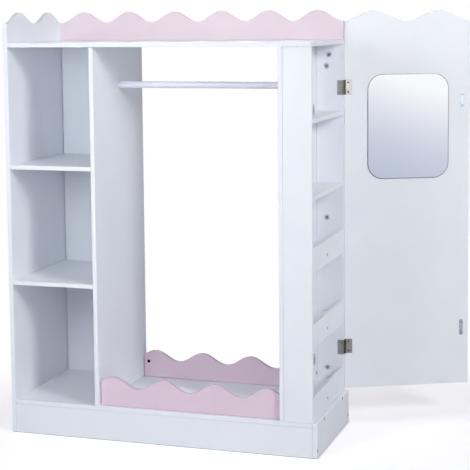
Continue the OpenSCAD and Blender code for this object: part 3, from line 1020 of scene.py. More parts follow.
@dataclass
class Board:
    """One painted board, flat or scalloped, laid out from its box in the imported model."""

    node: str
    finish: Finish
    slot: str
    seats: Sequence[Seat] = ()
    scallop: Optional[Scallop] = None
    body: Body = Body.UNIT
    ease: float = 1.0 * MM
    # The hairline where the board's edge meets its neighbour, and how much wider it is on the left.
    joint: float = 0.5 * MM
    gap: float = 0.0

    def build(self) -> None:
        """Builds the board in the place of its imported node."""
        low, high = box_of(self.node, self.body)
        size = high - low
        plane = np.delete(np.arange(3), np.argmin(size))
        if self.scallop is None:
            outline = rectangle((self.gap + self.joint, self.joint), size[plane] - self.joint, CORNER)
        else:
            outline = self.scallop.outline(size[plane[0]], low[2], self.gap)
            outline = outline - outline_normals(outline) * self.joint
        shell = sheet(low, high, self.ease, seats=self.seats, outline=outline)
        make_piece(self.node + "_board", shell, self.finish, self.body, self.node)


class Recess(Enum):
    """The ways in which a screw's head is driven."""

    CROSS = "cross"
    HEXAGON = "hexagon"


@dataclass
class Screw:
    """A countersunk screw with a driven head and a coarse thread, as one turned surface."""

    head_radius: float
    shank_radius: float
    length: float
    recess: Recess
    dome: float = 0.15 * MM
    sink: float = 0.1 * MM
    rim: float = 0.3 * MM
    pitch: float = 1.6 * MM
    # As shares of the head's radius: where the walls of a hexagon, of a cross's arms and of their ends
    # start and stop.
    flats: Span = (0.42, 0.52)
    arm: Span = (0.10, 0.18)
    end: Span = (0.45, 0.66)
    # As shares of the shank's radius: how deep the recess and the thread are, how long the point is, and
    # the radius of its end.
    recess_depth: float = 0.9
    thread_depth: float = 0.18
    point: float = 3.0
    blunt: float = 0.12
    turns: int = 40

    def shell(self) -> Shell:
        """Turns the screw, from the middle of its head at height 0 to its tip.

        The head's face is a shallow dome with the recess cut into it. The cone below it runs into a
        shank whose radius follows the thread's wave.

        Returns:
            The closed shell.
        """
        angle = full_turn(self.turns)
        share = np.linspace(0.06, 1.0, 12)[:, None]
        face_r = share * self.head_radius
        face_z = self.sink + self.dome * (share**2 - 1) + self.cut(face_r, angle)
        cone_r = np.linspace(self.head_radius, self.shank_radius, 4)[1:, None]
        cone_depth = self.head_radius - self.shank_radius
        cone_z = self.sink + np.linspace(self.rim, self.rim + cone_depth, 4)[1:, None]
        top = float(cone_z[-1, 0])
        rows = max(int((self.length - top) / self.pitch * 5), 8)
        shank_z = np.linspace(top + self.pitch * 0.2, self.length, rows)[:, None]
        depth = self.thread_depth * self.shank_radius * (thread(shank_z, angle, self.pitch) - 1)
        point = smooth_step(self.length - shank_z, -0.1 * MM, self.point * self.shank_radius)
        shank_r = (self.shank_radius + depth) * (self.blunt + (1 - self.blunt) * point)
        return lathe([(face_r, face_z), (cone_r, cone_z), (shank_r, shank_z)], self.turns)

    def cut(self, radius: np.ndarray, angle: np.ndarray) -> np.ndarray:
        """Gives how deep the driver's recess is at each place on the head's face.

        Args:
            radius: Each place's distance from the middle.
            angle: Each place's angle.

        Returns:
            The depths.
        """
        head = self.head_radius
        if self.recess is Recess.HEXAGON:
            share = 1 - smooth_step(across_flats(radius, angle), *scaled(self.flats, head))
        else:
            share = cross_recess(radius, angle, scaled(self.arm, head), scaled(self.end, head))
        return self.recess_depth * self.shank_radius * share


def small_screw(shaft: Shaft) -> Screw:
    """Gives the cross-headed screw of a fitting."""
    return Screw(shaft.width / 2, 1.45 * MM, shaft.length, Recess.CROSS, pitch=1.3 * MM)


def carcass_screw(shaft: Shaft) -> Screw:
    """Gives the socket-headed screw that joins two boards."""
    return Screw(shaft.width / 2, 2.4 * MM, shaft.length, Recess.HEXAGON, sink=0.3 * MM, pitch=2.4 * MM)


def screw_group(
    name: str, node: str, screw: Callable[[Shaft], Screw], finish: Finish, body: Body = Body.UNIT
) -> None:
    """Makes all the screws of one node as one piece, each driven to an angle of its own.

    Args:
        name: The piece's name.
        node: The node that it replaces.
        screw: Gives the screw for a shaft.
        finish: Its finish.
        body: The body that it rides on.
    """
    shells = [
        screw(shaft).shell().moved(shaft.head, facing(shaft.way, SCREW_SPIN + SCREW_STEP * number))
        for number, shaft in enumerate(shafts(node, body))
    ]
    make_piece(name, joined(shells), finish, body, node)


# ---------------------------------------------------------------- the sub-assemblies


@dataclass
class Carcass:
    """The fixed boards: side panels, decks, plinths, cubbies, bay and tower."""

    crest_rise: float = 69.5 * MM
    crest_amplitude: float = 15.5 * MM
    side_pitch: float = 192 * MM
    top_pitch: float = 144.6 * MM
    bay_rise: float = 68 * MM
    bay_amplitude: float = 15 * MM
    bay_pitch: float = 150 * MM
    # The side panel's troughs are broader than its crests.
    side_flat: float = 1.3
    # The bay rails and the cubbies' back stand clear of their neighbours by more than the other boards.
    corner_gap: float = 1.8 * MM
    rail_gap: float = 1.2 * MM
    rail_joint: float = 0.9 * MM
    rail_ease: float = 0.7 * MM
    head_room: float = 0.15 * MM
    head_depth: float = 1.6 * MM
    cam_room: float = 0.2 * MM
    cam_depth: float = 3.0 * MM
    barrel_room: float = 0.1 * MM
    barrel_depth: float = 2.0 * MM
    flat_boards: Sequence[str] = (
        "left_divider", "upper_shelf", "lower_shelf", "bottom_board", "top_board",
        "front_plinth", "rear_plinth", "base_side_panel", "inner_wall", "right_front_panel",
        "right_back_panel", "side_shelf_upper", "side_shelf_lower", "bin_shelf_upper",
        "bin_shelf_middle", "bin_shelf_lower", "bin_rail_upper", "bin_rail_middle", "bin_rail_lower",
    )

    def crest(self) -> float:
        """Returns the mean height of the crests on the side panel, the rear rail and the door."""
        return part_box("top_board")[1].z + self.crest_rise

    def seats(self) -> List[Seat]:
        """Lists the recesses that the boards have for screw heads and cam nuts."""
        nodes = ("carcass_screws", "bin_rail_screws", "hanging_rail_screws")
        heads = [shaft.seat(self.head_room, self.head_depth) for node in nodes for shaft in shafts(node)]
        return heads + [nut.seat(self.cam_room, self.cam_depth) for nut in CamNuts().places()]

    def build(self) -> None:
        """Builds every fixed board."""
        seats = self.seats()
        barrels = [nut.seat(self.barrel_room, self.barrel_depth) for nut in BayFittings.nuts()]
        crest = self.crest()
        Board("left_back_panel", WHITE_PAINT, "white_board", seats, gap=self.corner_gap).build()
        for node in self.flat_boards:
            Board(node, WHITE_PAINT, "white_board", seats).build()
        side = Scallop(crest, self.crest_amplitude, self.side_pitch, flat=self.side_flat)
        Board("left_side_panel", WHITE_PAINT, "white_board", seats, side).build()
        top = Scallop(crest, self.crest_amplitude, self.top_pitch)
        # The top rail's paler lilac is painted light.
        Board("top_rear_rail", PINK_PAINT_WITH_PAINTED_LIGHT, "pink_board", seats, top).build()
        bay = Scallop(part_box("bottom_board")[1].z + self.bay_rise, self.bay_amplitude, self.bay_pitch)
        wide = {"ease": self.rail_ease, "joint": self.rail_joint, "gap": self.rail_gap}
        for node in ("bay_front_rail", "bay_rear_rail"):
            Board(node, PINK_PAINT, "pink_board", barrels, bay, **wide).build()


@dataclass
class HangingRail:
    """The round rail between the divider and the inner wall."""

    ease: float = 0.6 * MM
    rows: int = 24
    turns: int = 64

    def build(self) -> None:
        """Turns the rail about its axis, with eased ends."""
        low, high = box_of("hanging_rail")
        radius = (high[2] - low[2]) / 2
        length = high[0] - low[0]
        inset, rise = quarter_round(self.ease, 3)
        middle = np.linspace(0, 1, self.rows)[1:-1]
        rows_r = np.concatenate([radius - inset, np.full(len(middle), radius), radius - inset[::-1]])
        rows_z = np.concatenate([rise, length * middle, length - rise[::-1]])
        centre = (low + high) / 2
        shell = lathe([(rows_r[:, None], rows_z[:, None])], self.turns)
        shell = shell.moved([low[0], centre[1], centre[2]], facing((1, 0, 0)))
        make_piece("hanging_rail_round", shell, RAIL_PAINT, Body.UNIT, "hanging_rail")


@dataclass
class CamNuts:
    """The die-cast cam nuts that pull the tower's panels and the left back panel to their neighbours."""

    sink: float = 0.25 * MM
    cross_depth: float = 2.4 * MM
    crescent_depth: float = 3.2 * MM
    height: float = 9.5 * MM
    # As shares of the nut's radius: where the walls of the cross's arms and of their ends start and stop,
    # and those of the crescent's inner and outer side.
    arm: Span = (0.10, 0.16)
    end: Span = (0.42, 0.5)
    inner: Span = (0.58, 0.64)
    outer: Span = (0.84, 0.9)
    # The crescent's middle, in radians, and the cosines from that at which its ends stop and start.
    mouth: float = 0.5
    mouth_ends: Span = (0.05, 0.25)
    # How far the first nut is turned, and how much further each of the next, in radians.
    spin: float = 0.7
    spin_step: float = 1.9
    turns: int = 72

    def places(self) -> List[Shaft]:
        """Reads the cam nuts' places. A nut opens into the tower, or to the back on the left panel."""
        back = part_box("right_back_panel")[0]
        places = []
        for cloud in solids("cam_nuts"):
            middle = sum(extent(cloud)) / 2
            places.append(facing_nut(cloud, middle[0] > back.x and middle[1] > back.y, 0))
        return places

    def shell(self, radius: float) -> Shell:
        """Turns one nut, its face cut by a cross and by the crescent mouth of the cam.

        The face's depth at radius r and angle a is the larger of the cross's and the crescent's, each
        with walls that fall over a short smooth step. The recesses take the edge's dark tone, the more the
        deeper they are: painted shade.

        Args:
            radius: Radius of the nut.

        Returns:
            The closed shell.
        """
        angle = full_turn(self.turns)
        r = np.linspace(0.03, 1.0, 26)[:, None] * radius
        cross = cross_recess(r, angle, scaled(self.arm, radius), scaled(self.end, radius))
        inner = smooth_step(r, *scaled(self.inner, radius))
        outer = 1 - smooth_step(r, *scaled(self.outer, radius))
        crescent = inner * outer * smooth_step(np.cos(angle - self.mouth), *self.mouth_ends)
        depth = np.maximum(cross * self.cross_depth, crescent * self.crescent_depth)
        side_z = np.linspace(self.sink + 0.3 * MM, self.height, 4)[:, None]
        shell = lathe([(r, self.sink + depth), (radius, side_z)], self.turns)
        # Painted shade: the recesses darken with depth through the edge tone.
        shell.edge[: depth.size] = (depth / self.crescent_depth).reshape(-1)
        return shell

    def build(self) -> None:
        """Builds all the cam nuts as one piece, each turned to an angle of its own."""
        shells = [
            self.shell(nut.width / 2).moved(nut.head, facing(nut.way, self.spin + self.spin_step * number))
            for number, nut in enumerate(self.places())
        ]
        make_piece("cam_nut_castings", joined(shells), DIE_CAST, Body.UNIT, "cam_nuts")


@dataclass
class BayFittings:
    """The bolts and barrel nuts that hold the bay's two scalloped rails."""

    head_height: float = 2.5 * MM
    socket: float = 2.3 * MM
    socket_depth: float = 1.6 * MM
    shank_radius: float = 3.0 * MM
    pitch: float = 1.2 * MM
    thread_depth: float = 0.45 * MM
    # The thread starts and is full at these distances from the top of the head.
    thread_start: Span = (12 * MM, 14 * MM)
    slot_depth: float = 1.4 * MM
    # Where the walls of a nut's slot and of its ends start and stop, as shares of the nut's radius.
    slot: Span = (0.14, 0.2)
    slot_end: Span = (0.8, 0.95)
    turns: int = 48

    @staticmethod
    def nuts() -> List[Shaft]:
        """Reads the barrel nuts' places. Each opens to the middle of the bay."""
        middle = (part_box("bay_front_rail")[0].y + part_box("bay_rear_rail")[1].y) / 2
        clouds = solids("bay_barrel_nuts")
        return [facing_nut(cloud, sum(extent(cloud))[1] / 2 > middle, 2) for cloud in clouds]

    def nut(self, radius: float, length: float) -> Shell:
        """Turns one barrel nut with a slot across its face.

        Args:
            radius: Its radius.
            length: Its length.

        Returns:
            The closed shell.
        """
        angle = full_turn(self.turns)
        r = np.linspace(0.05, 1.0, 14)[:, None] * radius
        slot = 1 - smooth_step(np.abs(r * np.sin(angle)), *scaled(self.slot, radius))
        slot = slot * (1 - smooth_step(r, *scaled(self.slot_end, radius)))
        side_z = np.linspace(0.5 * MM, length, 4)[:, None]
        return lathe([(r, 0.2 * MM + self.slot_depth * slot), (radius, side_z)], self.turns)

    def bolt(self, shaft: Shaft) -> Shell:
        """Turns one bolt: a low rounded head with a hexagon socket, and a threaded shank.

        Args:
            shaft: The bolt's place.

        Returns:
            The closed shell, in its place.
        """
        angle = full_turn(self.turns)
        radius = shaft.width / 2
        share = np.linspace(0.06, 1.0, 14)[:, None]
        flats = across_flats(share * radius, angle)
        socket = 1 - smooth_step(flats, self.socket - 0.2 * MM, self.socket + 0.1 * MM)
        dome = self.head_height * (1 - np.sqrt(np.clip(1 - (share * 0.94) ** 2, 0, 1)))
        shank_z = np.linspace(self.head_height + 0.2 * MM, shaft.length, 90)[:, None]
        groove = self.thread_depth * (1 - thread(shank_z, angle, self.pitch))
        shank_r = self.shank_radius - groove * smooth_step(shank_z, *self.thread_start)
        head = [(share * radius, dome + self.socket_depth * socket), (radius, self.head_height)]
        shank = [(self.shank_radius, self.head_height), (shank_r, shank_z)]
        return lathe(head + shank, self.turns).moved(shaft.head, facing(shaft.way))

    def build(self) -> None:
        """Builds the bolts and the barrel nuts."""
        bolts = joined(self.bolt(shaft) for shaft in shafts("bay_rail_bolts"))
        make_piece("bay_bolts", bolts, ZINC, Body.UNIT, "bay_rail_bolts")
        nuts = joined(self.nut(n.width / 2, n.length).moved(n.head, facing(n.way)) for n in self.nuts())
        make_piece("bay_nut_barrels", nuts, BLACK_OXIDE, Body.UNIT, "bay_barrel_nuts")


@dataclass
class Catches:
    """The magnetic catches behind the tower's front panel: ribbed housings, magnets and pole plates."""

    ease: float = 1.2 * MM
    corner: float = 1.6 * MM
    ribs: int = 7
    rib_margin: float = 3.0 * MM
    rib_indent: float = 2.0 * MM
    rib_depth: float = 0.5 * MM
    rib_sink: float = 0.1 * MM
    rib_height: float = 0.9 * MM
    rib_ease: float = 0.15 * MM
    rib_corner: float = 0.3 * MM
    pole: float = 1.2 * MM
    pole_gap: float = 4.4 * MM
    pole_ease: float = 0.2 * MM
    pole_corner: float = 0.6 * MM
    core_play: float = 1.3 * MM
    core_sink: float = 0.7 * MM
    core_margin: float = 0.5 * MM
    core_corner: float = 0.4 * MM

    def housing(self, low: np.ndarray, high: np.ndarray) -> List[Shell]:
        """Moulds one housing and the ribs across its rear face.

        Args:
            low: Its lowest corner.
            high: Its highest corner.

        Returns:
            The housing and its ribs.
        """
        shells = [sheet(low, high, self.ease, self.corner, through=0)]
        wide = high[0] - low[0] - 2 * self.rib_indent
        for level in np.linspace(low[2] + self.rib_margin, high[2] - self.rib_margin, self.ribs):
            start = np.array([low[0] + self.rib_indent, high[1] - self.rib_sink, level])
            end = start + [wide, self.rib_depth, self.rib_height]
            shells.append(sheet(start, end, self.rib_ease, self.rib_corner))
        return shells

    def poles(self, low: np.ndarray, high: np.ndarray) -> List[Shell]:
        """Stamps the two pole plates of one catch and the magnet between them.

        Args:
            low: Their lowest corner.
            high: Their highest corner.

        Returns:
            The plates and the magnet.
        """
        middle = (low[1] + high[1]) / 2
        shells = []
        for side in (-1, 1):
            y = middle + side * self.pole_gap / 2 - self.pole / 2
            ends = (low[0], y, low[2]), (high[0], y + self.pole, high[2])
            shells.append(sheet(*ends, self.pole_ease, self.pole_corner, through=1))
        half = (self.pole_gap - self.core_play) / 2
        start = (low[0], middle - half, low[2] + self.core_margin)
        end = (high[0] - self.core_sink, middle + half, high[2] - self.core_margin)
        return shells + [sheet(start, end, self.pole_ease, self.core_corner, through=1)]

    def build(self) -> None:
        """Builds the housings, and the magnets with their pole plates."""
        bodies = [shell for cloud in solids("catch_housings") for shell in self.housing(*extent(cloud))]
        poles = [shell for cloud in solids("catch_magnets") for shell in self.poles(*extent(cloud))]
        shell = joined(bodies)
        make_piece("catch_bodies", shell, CATCH_PLASTIC, Body.UNIT, "catch_housings")
        make_piece("catch_poles", joined(poles), POLE_STEEL, Body.UNIT, "catch_magnets")


@dataclass
class Hinges:
    """The two semi-wrap butt hinges at the tower's rear corner."""

    leaf: float = 1.0 * MM
    width: float = 18.0 * MM
    corner: float = 1.2 * MM
    knuckle: float = 2.2 * MM
    bore: float = 1.25 * MM
    knuckles: int = 5
    play: float = 0.3 * MM
    ease: float = 0.2 * MM
    tongue_root: float = 2.0 * MM
    seat_radius: float = 3.0 * MM
    seat_depth: float = 0.7 * MM
    # Where the frame's and the door's knuckles start to curl, in degrees, and how much of a turn they go.
    curl_from: Span = (200, -20)
    curl: float = 0.9
    # How much thinner than its bore a pin is, and its head than a knuckle, from the axis.
    pin_play: float = 0.05 * MM
    head_rim: float = 0.3 * MM
    pin_turns: int = 32
    # How much painted shade, in the edge's dark tone, lies where the sheet is folded, and where it is
    # rolled.
    fold_shade: float = 1.0
    frame_knuckle_shade: float = 0.7
    door_knuckle_shade: float = 0.8

    def heights(self) -> List[Span]:
        """Reads the lowest and highest point of each hinge."""
        return [(float(c[:, 2].min()), float(c[:, 2].max())) for c in solids("hinge_frame_leaves")]

    def plate(self, low: Sequence[float], high: Sequence[float], seats: Sequence[Seat] = ()) -> Shell:
        """Cuts one flat plate between two corners, with seats for its screws."""
        return sheet(low, high, self.ease, self.corner, seats)

    def screw_seats(self, node: str, body: Body) -> List[Seat]:
        """Lists the countersinks for the screws of one leaf."""
        return [Seat(s.head, s.way, self.seat_radius, self.seat_depth) for s in shafts(node, body)]

    def knuckle_set(self, low: float, high: float, first: int, face: float, knuckle_shade: float) -> List[Shell]:
        """Rolls every second knuckle of a hinge, each with the tongue that joins it to its leaf.

        A knuckle is a ring of sheet about the pin that stops short of closing.

        Args:
            low: The hinge's lowest point.
            high: Its highest point.
            first: Number of the leaf's first knuckle, 0 for the frame's leaf and 1 for the door's.
            face: Where the tongues lie from left to right.
            knuckle_shade: How much painted shade, in the edge's tone, the knuckles get.

        Returns:
            The tongues and knuckles.
        """
        height = (high - low - (self.knuckles - 1) * self.play) / self.knuckles
        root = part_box("right_back_panel")[1].y - self.tongue_root
        turn = math.radians(self.curl_from[first]) + np.linspace(0, self.curl * TAU, 40)
        ring = np.concatenate([around(turn) * self.knuckle, around(turn[::-1]) * self.bore])
        shells = []
        for k in range(first, self.knuckles, 2):
            foot = low + k * (height + self.play)
            tongue = self.plate((face, root, foot), (face + self.leaf, PIN[1], foot + height))
            shells.append(tongue.with_painted_shade(self.fold_shade))
            curl = slab(ring, height, self.ease).moved([PIN[0], PIN[1], foot], np.eye(3))
            shells.append(curl.with_painted_shade(knuckle_shade))
        return shells

    def frame_leaves(self) -> Shell:
        """Folds the leaves that wrap round the back panel's edge."""
        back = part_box("right_back_panel")
        edge, front, rear = back[1].x, back[0].y, back[1].y
        t = self.leaf
        seats = self.screw_seats("hinge_frame_screws", Body.UNIT)
        fold = np.concatenate([around(np.linspace(-math.pi / 2, 0, 9)) * t, [[0, 0]]])
        shells = []
        for low, high in self.heights():
            shells.append(self.plate((edge - self.width, front - t, low), (edge, front, high), seats))
            shells.append(self.plate((edge, front, low), (edge + t, rear, high)).with_painted_shade(self.fold_shade))
            bend = slab(fold, high - low, self.ease / 2).moved([edge, front, low], np.eye(3))
            shells.append(bend.with_painted_shade(self.fold_shade))
            shells += self.knuckle_set(low, high, 0, edge, self.frame_knuckle_shade)
        return joined(shells)

    def door_leaves(self) -> Shell:
        """Stamps the flat leaves on the door."""
        seats = self.screw_seats("hinge_door_screws", Body.DOOR)
        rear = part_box("right_back_panel")[1].y
        face = seats[0].centre[0]
        shells = []
        for low, high in self.heights():
            shells.append(self.plate((face, rear - self.width, low), (face + self.leaf, rear, high), seats))
            shells += self.knuckle_set(low, high, 1, face, self.door_knuckle_shade)
        return joined(shells)

    def pins(self) -> Shell:
        """Turns the pins, each with a domed head on the top knuckle."""
        pin, head = self.bore - self.pin_play, self.knuckle - self.head_rim
        radius = np.array([0.5 * pin, 0.9 * pin, pin, pin, head, head, 0.8 * head, 0.3 * head])
        shells = []
        for cloud in solids("hinge_pins"):
            low, high = extent(cloud)
            down = np.array([1, 1, 0.5, 0.1, 0]) * MM
            height = np.concatenate([[0, 0.1 * MM, 0.4 * MM], high[2] - low[2] - down])
            rod = lathe([(radius[:, None], height[:, None])], self.pin_turns)
            shells.append(rod.moved([PIN[0], PIN[1], low[2]], np.eye(3)))
        return joined(shells)

    def build(self) -> None:
        """Builds the leaves, the pins and their screws."""
        frame_leaves, door_leaves = self.frame_leaves(), self.door_leaves()
        make_piece("hinge_leaves_frame", frame_leaves, NICKEL, Body.UNIT, "hinge_frame_leaves")
        make_piece("hinge_leaves_door", door_leaves, NICKEL, Body.DOOR, "hinge_door_leaves")
        make_piece("hinge_pin_rods", self.pins(), NICKEL, Body.UNIT, "hinge_pins")
        screw_group("hinge_screws_frame", "hinge_frame_screws", small_screw, NICKEL)
        screw_group("hinge_screws_door", "hinge_door_screws", small_screw, BLACKENED, Body.DOOR)


@dataclass
class MirrorDoor:
    """The door, with its mirror and the strike plates for the catches. All of it is built shut."""

    crest: float
    crest_drop: float = 3.5 * MM
    amplitude: float = 15.5 * MM
    pitch: float = 190 * MM
    shift: float = 4 * MM
    # The hinge edge covers the gap behind the back panel's edge, and is notched for the knuckles.
    reach: float = 4.5 * MM
    notch: float = 2.0 * MM
    mirror_radius: float = 45 * MM
    mirror_ease: float = 0.6 * MM
    mirror_shade_band: float = 1.0 * MM
    strike_corner: float = 2.5 * MM
    strike_ease: float = 0.25 * MM
    seat_radius: float = 3.0 * MM
    seat_depth: float = 0.7 * MM

    def panel(self) -> None:
        """Builds the door's board, scalloped along its top and notched along its hinge edge."""
        pins = [extent(cloud) for cloud in solids("hinge_pins")]
        clear = [(float(low[2]) - self.notch, float(high[2]) + self.notch) for low, high in pins]
        mean = self.crest - self.crest_drop
        scallop = Scallop(mean, self.amplitude, self.pitch, self.shift, reach=self.reach, notches=clear)
        Board("door_panel", WHITE_PAINT, "white_board", (), scallop, Body.DOOR).build()

    def mirror(self) -> Shell:
        """Cuts the mirror: a rectangle with quarter circles at its corners and a polished edge, with a grey
        band of painted shade along it.
        """
        low, high = box_of("mirror_sheet", Body.DOOR)
        size, centre = high - low, (low + high) / 2
        outline = arc_rectangle(size[1], size[2], self.mirror_radius, 16)
        shell = slab(outline, size[0], self.mirror_ease, shade_band=self.mirror_shade_band)
        return shell.moved([low[0], centre[1], centre[2]], np.eye(3)[[1, 2, 0]])

    def strikes(self) -> Shell:
        """Stamps the strike plates, with soft corners and seats for their screws."""
        screws = shafts("strike_screws", Body.DOOR)
        seats = [Seat(s.head, s.way, self.seat_radius, self.seat_depth) for s in screws]
        return joined(
            sheet(*extent(cloud), self.strike_ease, self.strike_corner, seats, through=0)
            for cloud in solids("strike_plates", Body.DOOR)
        )

    def build(self) -> None:
        """Builds the door and what is on it."""
        self.panel()
        make_piece("mirror_glass", self.mirror(), MIRROR, Body.DOOR, "mirror_sheet")
        make_piece("strikes", self.strikes(), STRIKE_STEEL, Body.DOOR, "strike_plates")
        screw_group("strike_fixings", "strike_screws", small_screw, DULL_ZINC, Body.DOOR)


@dataclass
class Dowels:
    """The fluted beech dowels, hidden in the joints."""

    flutes: int = 16
    depth: float = 0.18 * MM
    chamfer: float = 1.0 * MM
    turns: int = 48

    def shell(self, radius: float, length: float) -> Shell:
        """Turns one dowel whose radius dips in every flute, with chamfered ends.

        Args:
            radius: Its radius.
            length: Its length.

        Returns:
            The closed shell.
        """
        share = np.array([0.0, 0.02, 1.0, 1.0, 0.02, 0.0])[:, None]
        height = np.array([0, 0, self.chamfer, length - self.chamfer, length, length])[:, None]
        rim = np.array([0.35, 0.85, 1.0, 1.0, 0.85, 0.35])[:, None] * radius
        flute = self.depth * (0.5 + 0.5 * np.cos(self.flutes * full_turn(self.turns))) * share
        return lathe([(rim - flute, height)], self.turns)

    def build(self) -> None:
        """Builds all the dowels as one piece."""
        places = shafts("wood_dowels")
        shell = joined(self.shell(s.width / 2, s.length).moved(s.head, facing(s.way)) for s in places)
        make_piece("fluted_dowels", shell, BEECH, Body.UNIT, "wood_dowels")


# ---------------------------------------------------------------- studio


@dataclass
class Lamp:
    """One soft square lamp, aimed at a point of the unit."""

    name: str
    place: Point
    target: Point
    size: float
    watts: float
    tint: str = "#FFFFFF"

    def build(self) -> None:
        """Adds the lamp to the scene."""
        data = bpy.data.lights.new(self.name, "AREA")
        data.shape = "SQUARE"
        data.size = self.size
        data.energy = self.watts
        data.color = linear(self.tint)[:3]
        lamp = bpy.data.objects.new(self.name, data)
        lamp.location = self.place
        aim = Vector(self.target) - Vector(self.place)
        lamp.rotation_mode = "QUATERNION"
        lamp.rotation_quaternion = aim.to_track_quat("-Z", "Y")
        bpy.context.scene.collection.objects.link(lamp)


@dataclass
class Studio:
    """A white floor and world, soft lamps, and the camera of the product photograph."""

    floor_half: float = 4.5
    ambient: float = 0.015
    ambient_tint: str = "#EEF2FF"
    # How bright the floor glows where it isn't plain white, on top of the lamps' light on it.
    floor_lift: float = 0.53
    # How far the painted contact shade, a dark line where boards stand on the floor, reaches, and how
    # sharply it falls.
    contact: float = 0.008
    contact_power: float = 0.8
    floor_colour: str = "#ECEEF2"
    floor_shaded: str = "#D2D0D8"
    # The dim grey that glossy rays see instead of the floor: a painted reflection.
    floor_mirrored: str = "#A9ACB4"
    # The floor turns plain white between these distances from a point under the unit.
    fade: Span = (0.7, 1.25)
    fade_centre: Point = (0.3, 0.1, 0.0)
    # It is plain white behind the bay too: a direction, and the distances along it from none to all.
    behind: Tuple[Point, Span] = ((0, 1, 0), (0.42, 0.7))
    beside: Tuple[Point, Span] = ((1, 0.233, 0), (0.52, 0.38))
    mirror_low: str = "#C0C7D8"
    mirror_deep: str = "#9A9CA0"
    # The tilt of the glossy horizon, and where along it the world is white, cool grey and darkest.
    sweep: Point = (0.213, 0.192, 1.0)
    sweep_high: float = -0.045
    sweep_low: float = -0.12
    sweep_deep: float = -0.35
    sweep_power: float = 1.6
    lamps: Sequence[Lamp] = (
        Lamp("right", (2.8, -1.6, 1.9), (0.1, 0.1, 0.7), 0.65, 23.5),
        Lamp("right_low", (2.4, -3.2, 1.3), (0.1, 0.1, 0.6), 1.2, 12.6),
        Lamp("right_high", (3.2, -1.7, 2.6), (0.1, 0.1, 0.7), 1.0, 45.0),
        Lamp("left_high", (-1.3, -2.2, 1.7), (-0.1, 0.1, 0.7), 0.8, 9.2, "#FFFAFC"),
        Lamp("cubby_fill", (-0.3, -1.3, 1.2), (-0.3, 0.1, 0.6), 0.5, 7.2, "#F6FCFF"),
        Lamp("cubby_low", (-0.2, -1.3, 0.85), (-0.38, 0.2, 0.6), 0.4, 2.0, "#F8FCFF"),
        Lamp("overhead", (0.3, 0.1, 3.2), (0.25, 0.2, 1.1), 1.2, 12.5, "#F8F8FF"),
        Lamp("back_left", (-2.6, 2.0, 2.0), (0.1, 0.2, 0.6), 1.6, 10.0, "#F0F3FF"),
        Lamp("back", (-1.0, 3.4, 1.9), (0.0, 0.4, 0.6), 1.4, 27.0),
    )
    eye: Point = (1.362883, -3.552276, 1.172985)
    yaw_deg: float = 18.35
    pitch_deg: float = -5.703
    roll_deg: float = -0.567
    lens_mm: float = 107.70
    shift: Span = (0.03062, -0.16216)

    def floor(self) -> None:
        """Lays the floor."""
        half = self.floor_half
        mesh = bpy.data.meshes.new("studio_floor")
        corners = [(-half, -half, 0), (half, -half, 0), (half, half, 0), (-half, half, 0)]
        mesh.from_pydata(corners, [], [(0, 1, 2, 3)])
        material = bpy.data.materials.new("white_studio_floor")
        tree = emptied(material)
        add_node(tree, "ShaderNodeOutputMaterial", {"Surface": self.floor_shader(tree)})
        mesh.materials.append(material)
        floor = bpy.data.objects.new("studio_floor", mesh)
        bpy.context.scene.collection.objects.link(floor)

    def floor_shader(self, tree: Tree) -> Socket:
        """Adds the floor's shader.

        The camera sees the floor lifted towards white, which keeps only the deeper part of the unit's
        shadow, and fading to plain white away from the unit and on the open floor behind the bay.
        Light bounces off it as off white paper. Polished fittings mirror it as a dim grey: a painted
        reflection, darker than the floor that the camera sees.

        Args:
            tree: The floor's node tree.

        Returns:
            The shader's socket.
        """
        place = add_node(tree, "ShaderNodeTexCoord", {}, "Object")
        settings = {"operation": "DISTANCE", 0: place, 1: self.fade_centre}
        far = add_node(tree, "ShaderNodeVectorMath", settings, "Value")
        fade = mapped(tree, far, self.fade, kind="SMOOTHSTEP")
        behind, beside = (
            mapped(tree, along(tree, place, way), span, kind="SMOOTHSTEP")
            for way, span in (self.behind, self.beside)
        )
        fade = maths(tree, "MAXIMUM", fade, maths(tree, "MULTIPLY", behind, beside))
        # Painted contact shade: ambient occlusion darkens the floor's tone and glow near the boards' feet.
        occlusion = {"Distance": self.contact, "samples": 8}
        near_foot = add_node(tree, "ShaderNodeAmbientOcclusion", occlusion, "AO")
        open_air = maths(tree, "POWER", near_foot, self.contact_power)
        tone = blend(tree, open_air, linear("#000000"), linear(self.floor_shaded))
        shaded = add_node(tree, "ShaderNodeBsdfDiffuse", {"Color": tone})
        glow = maths(tree, "MULTIPLY", open_air, self.floor_lift)
        lift = add_node(tree, "ShaderNodeEmission", {"Strength": glow})
        near = add_node(tree, "ShaderNodeAddShader", {0: shaded, 1: lift})
        white = add_node(tree, "ShaderNodeEmission", {"Strength": 1.0})
        sight = mixed(tree, fade, near, white)
        bounce = add_node(tree, "ShaderNodeBsdfDiffuse", {"Color": linear(self.floor_colour)})
        # Painted reflection: glossy rays see the floor as this dim grey glow.
        dim = add_node(tree, "ShaderNodeEmission", {"Color": linear(self.floor_mirrored)})
        camera, glossy = (
            add_node(tree, "ShaderNodeLightPath", {}, ray) for ray in ("Is Camera Ray", "Is Glossy Ray")
        )
        return mixed(tree, camera, mixed(tree, glossy, bounce, dim), sight)

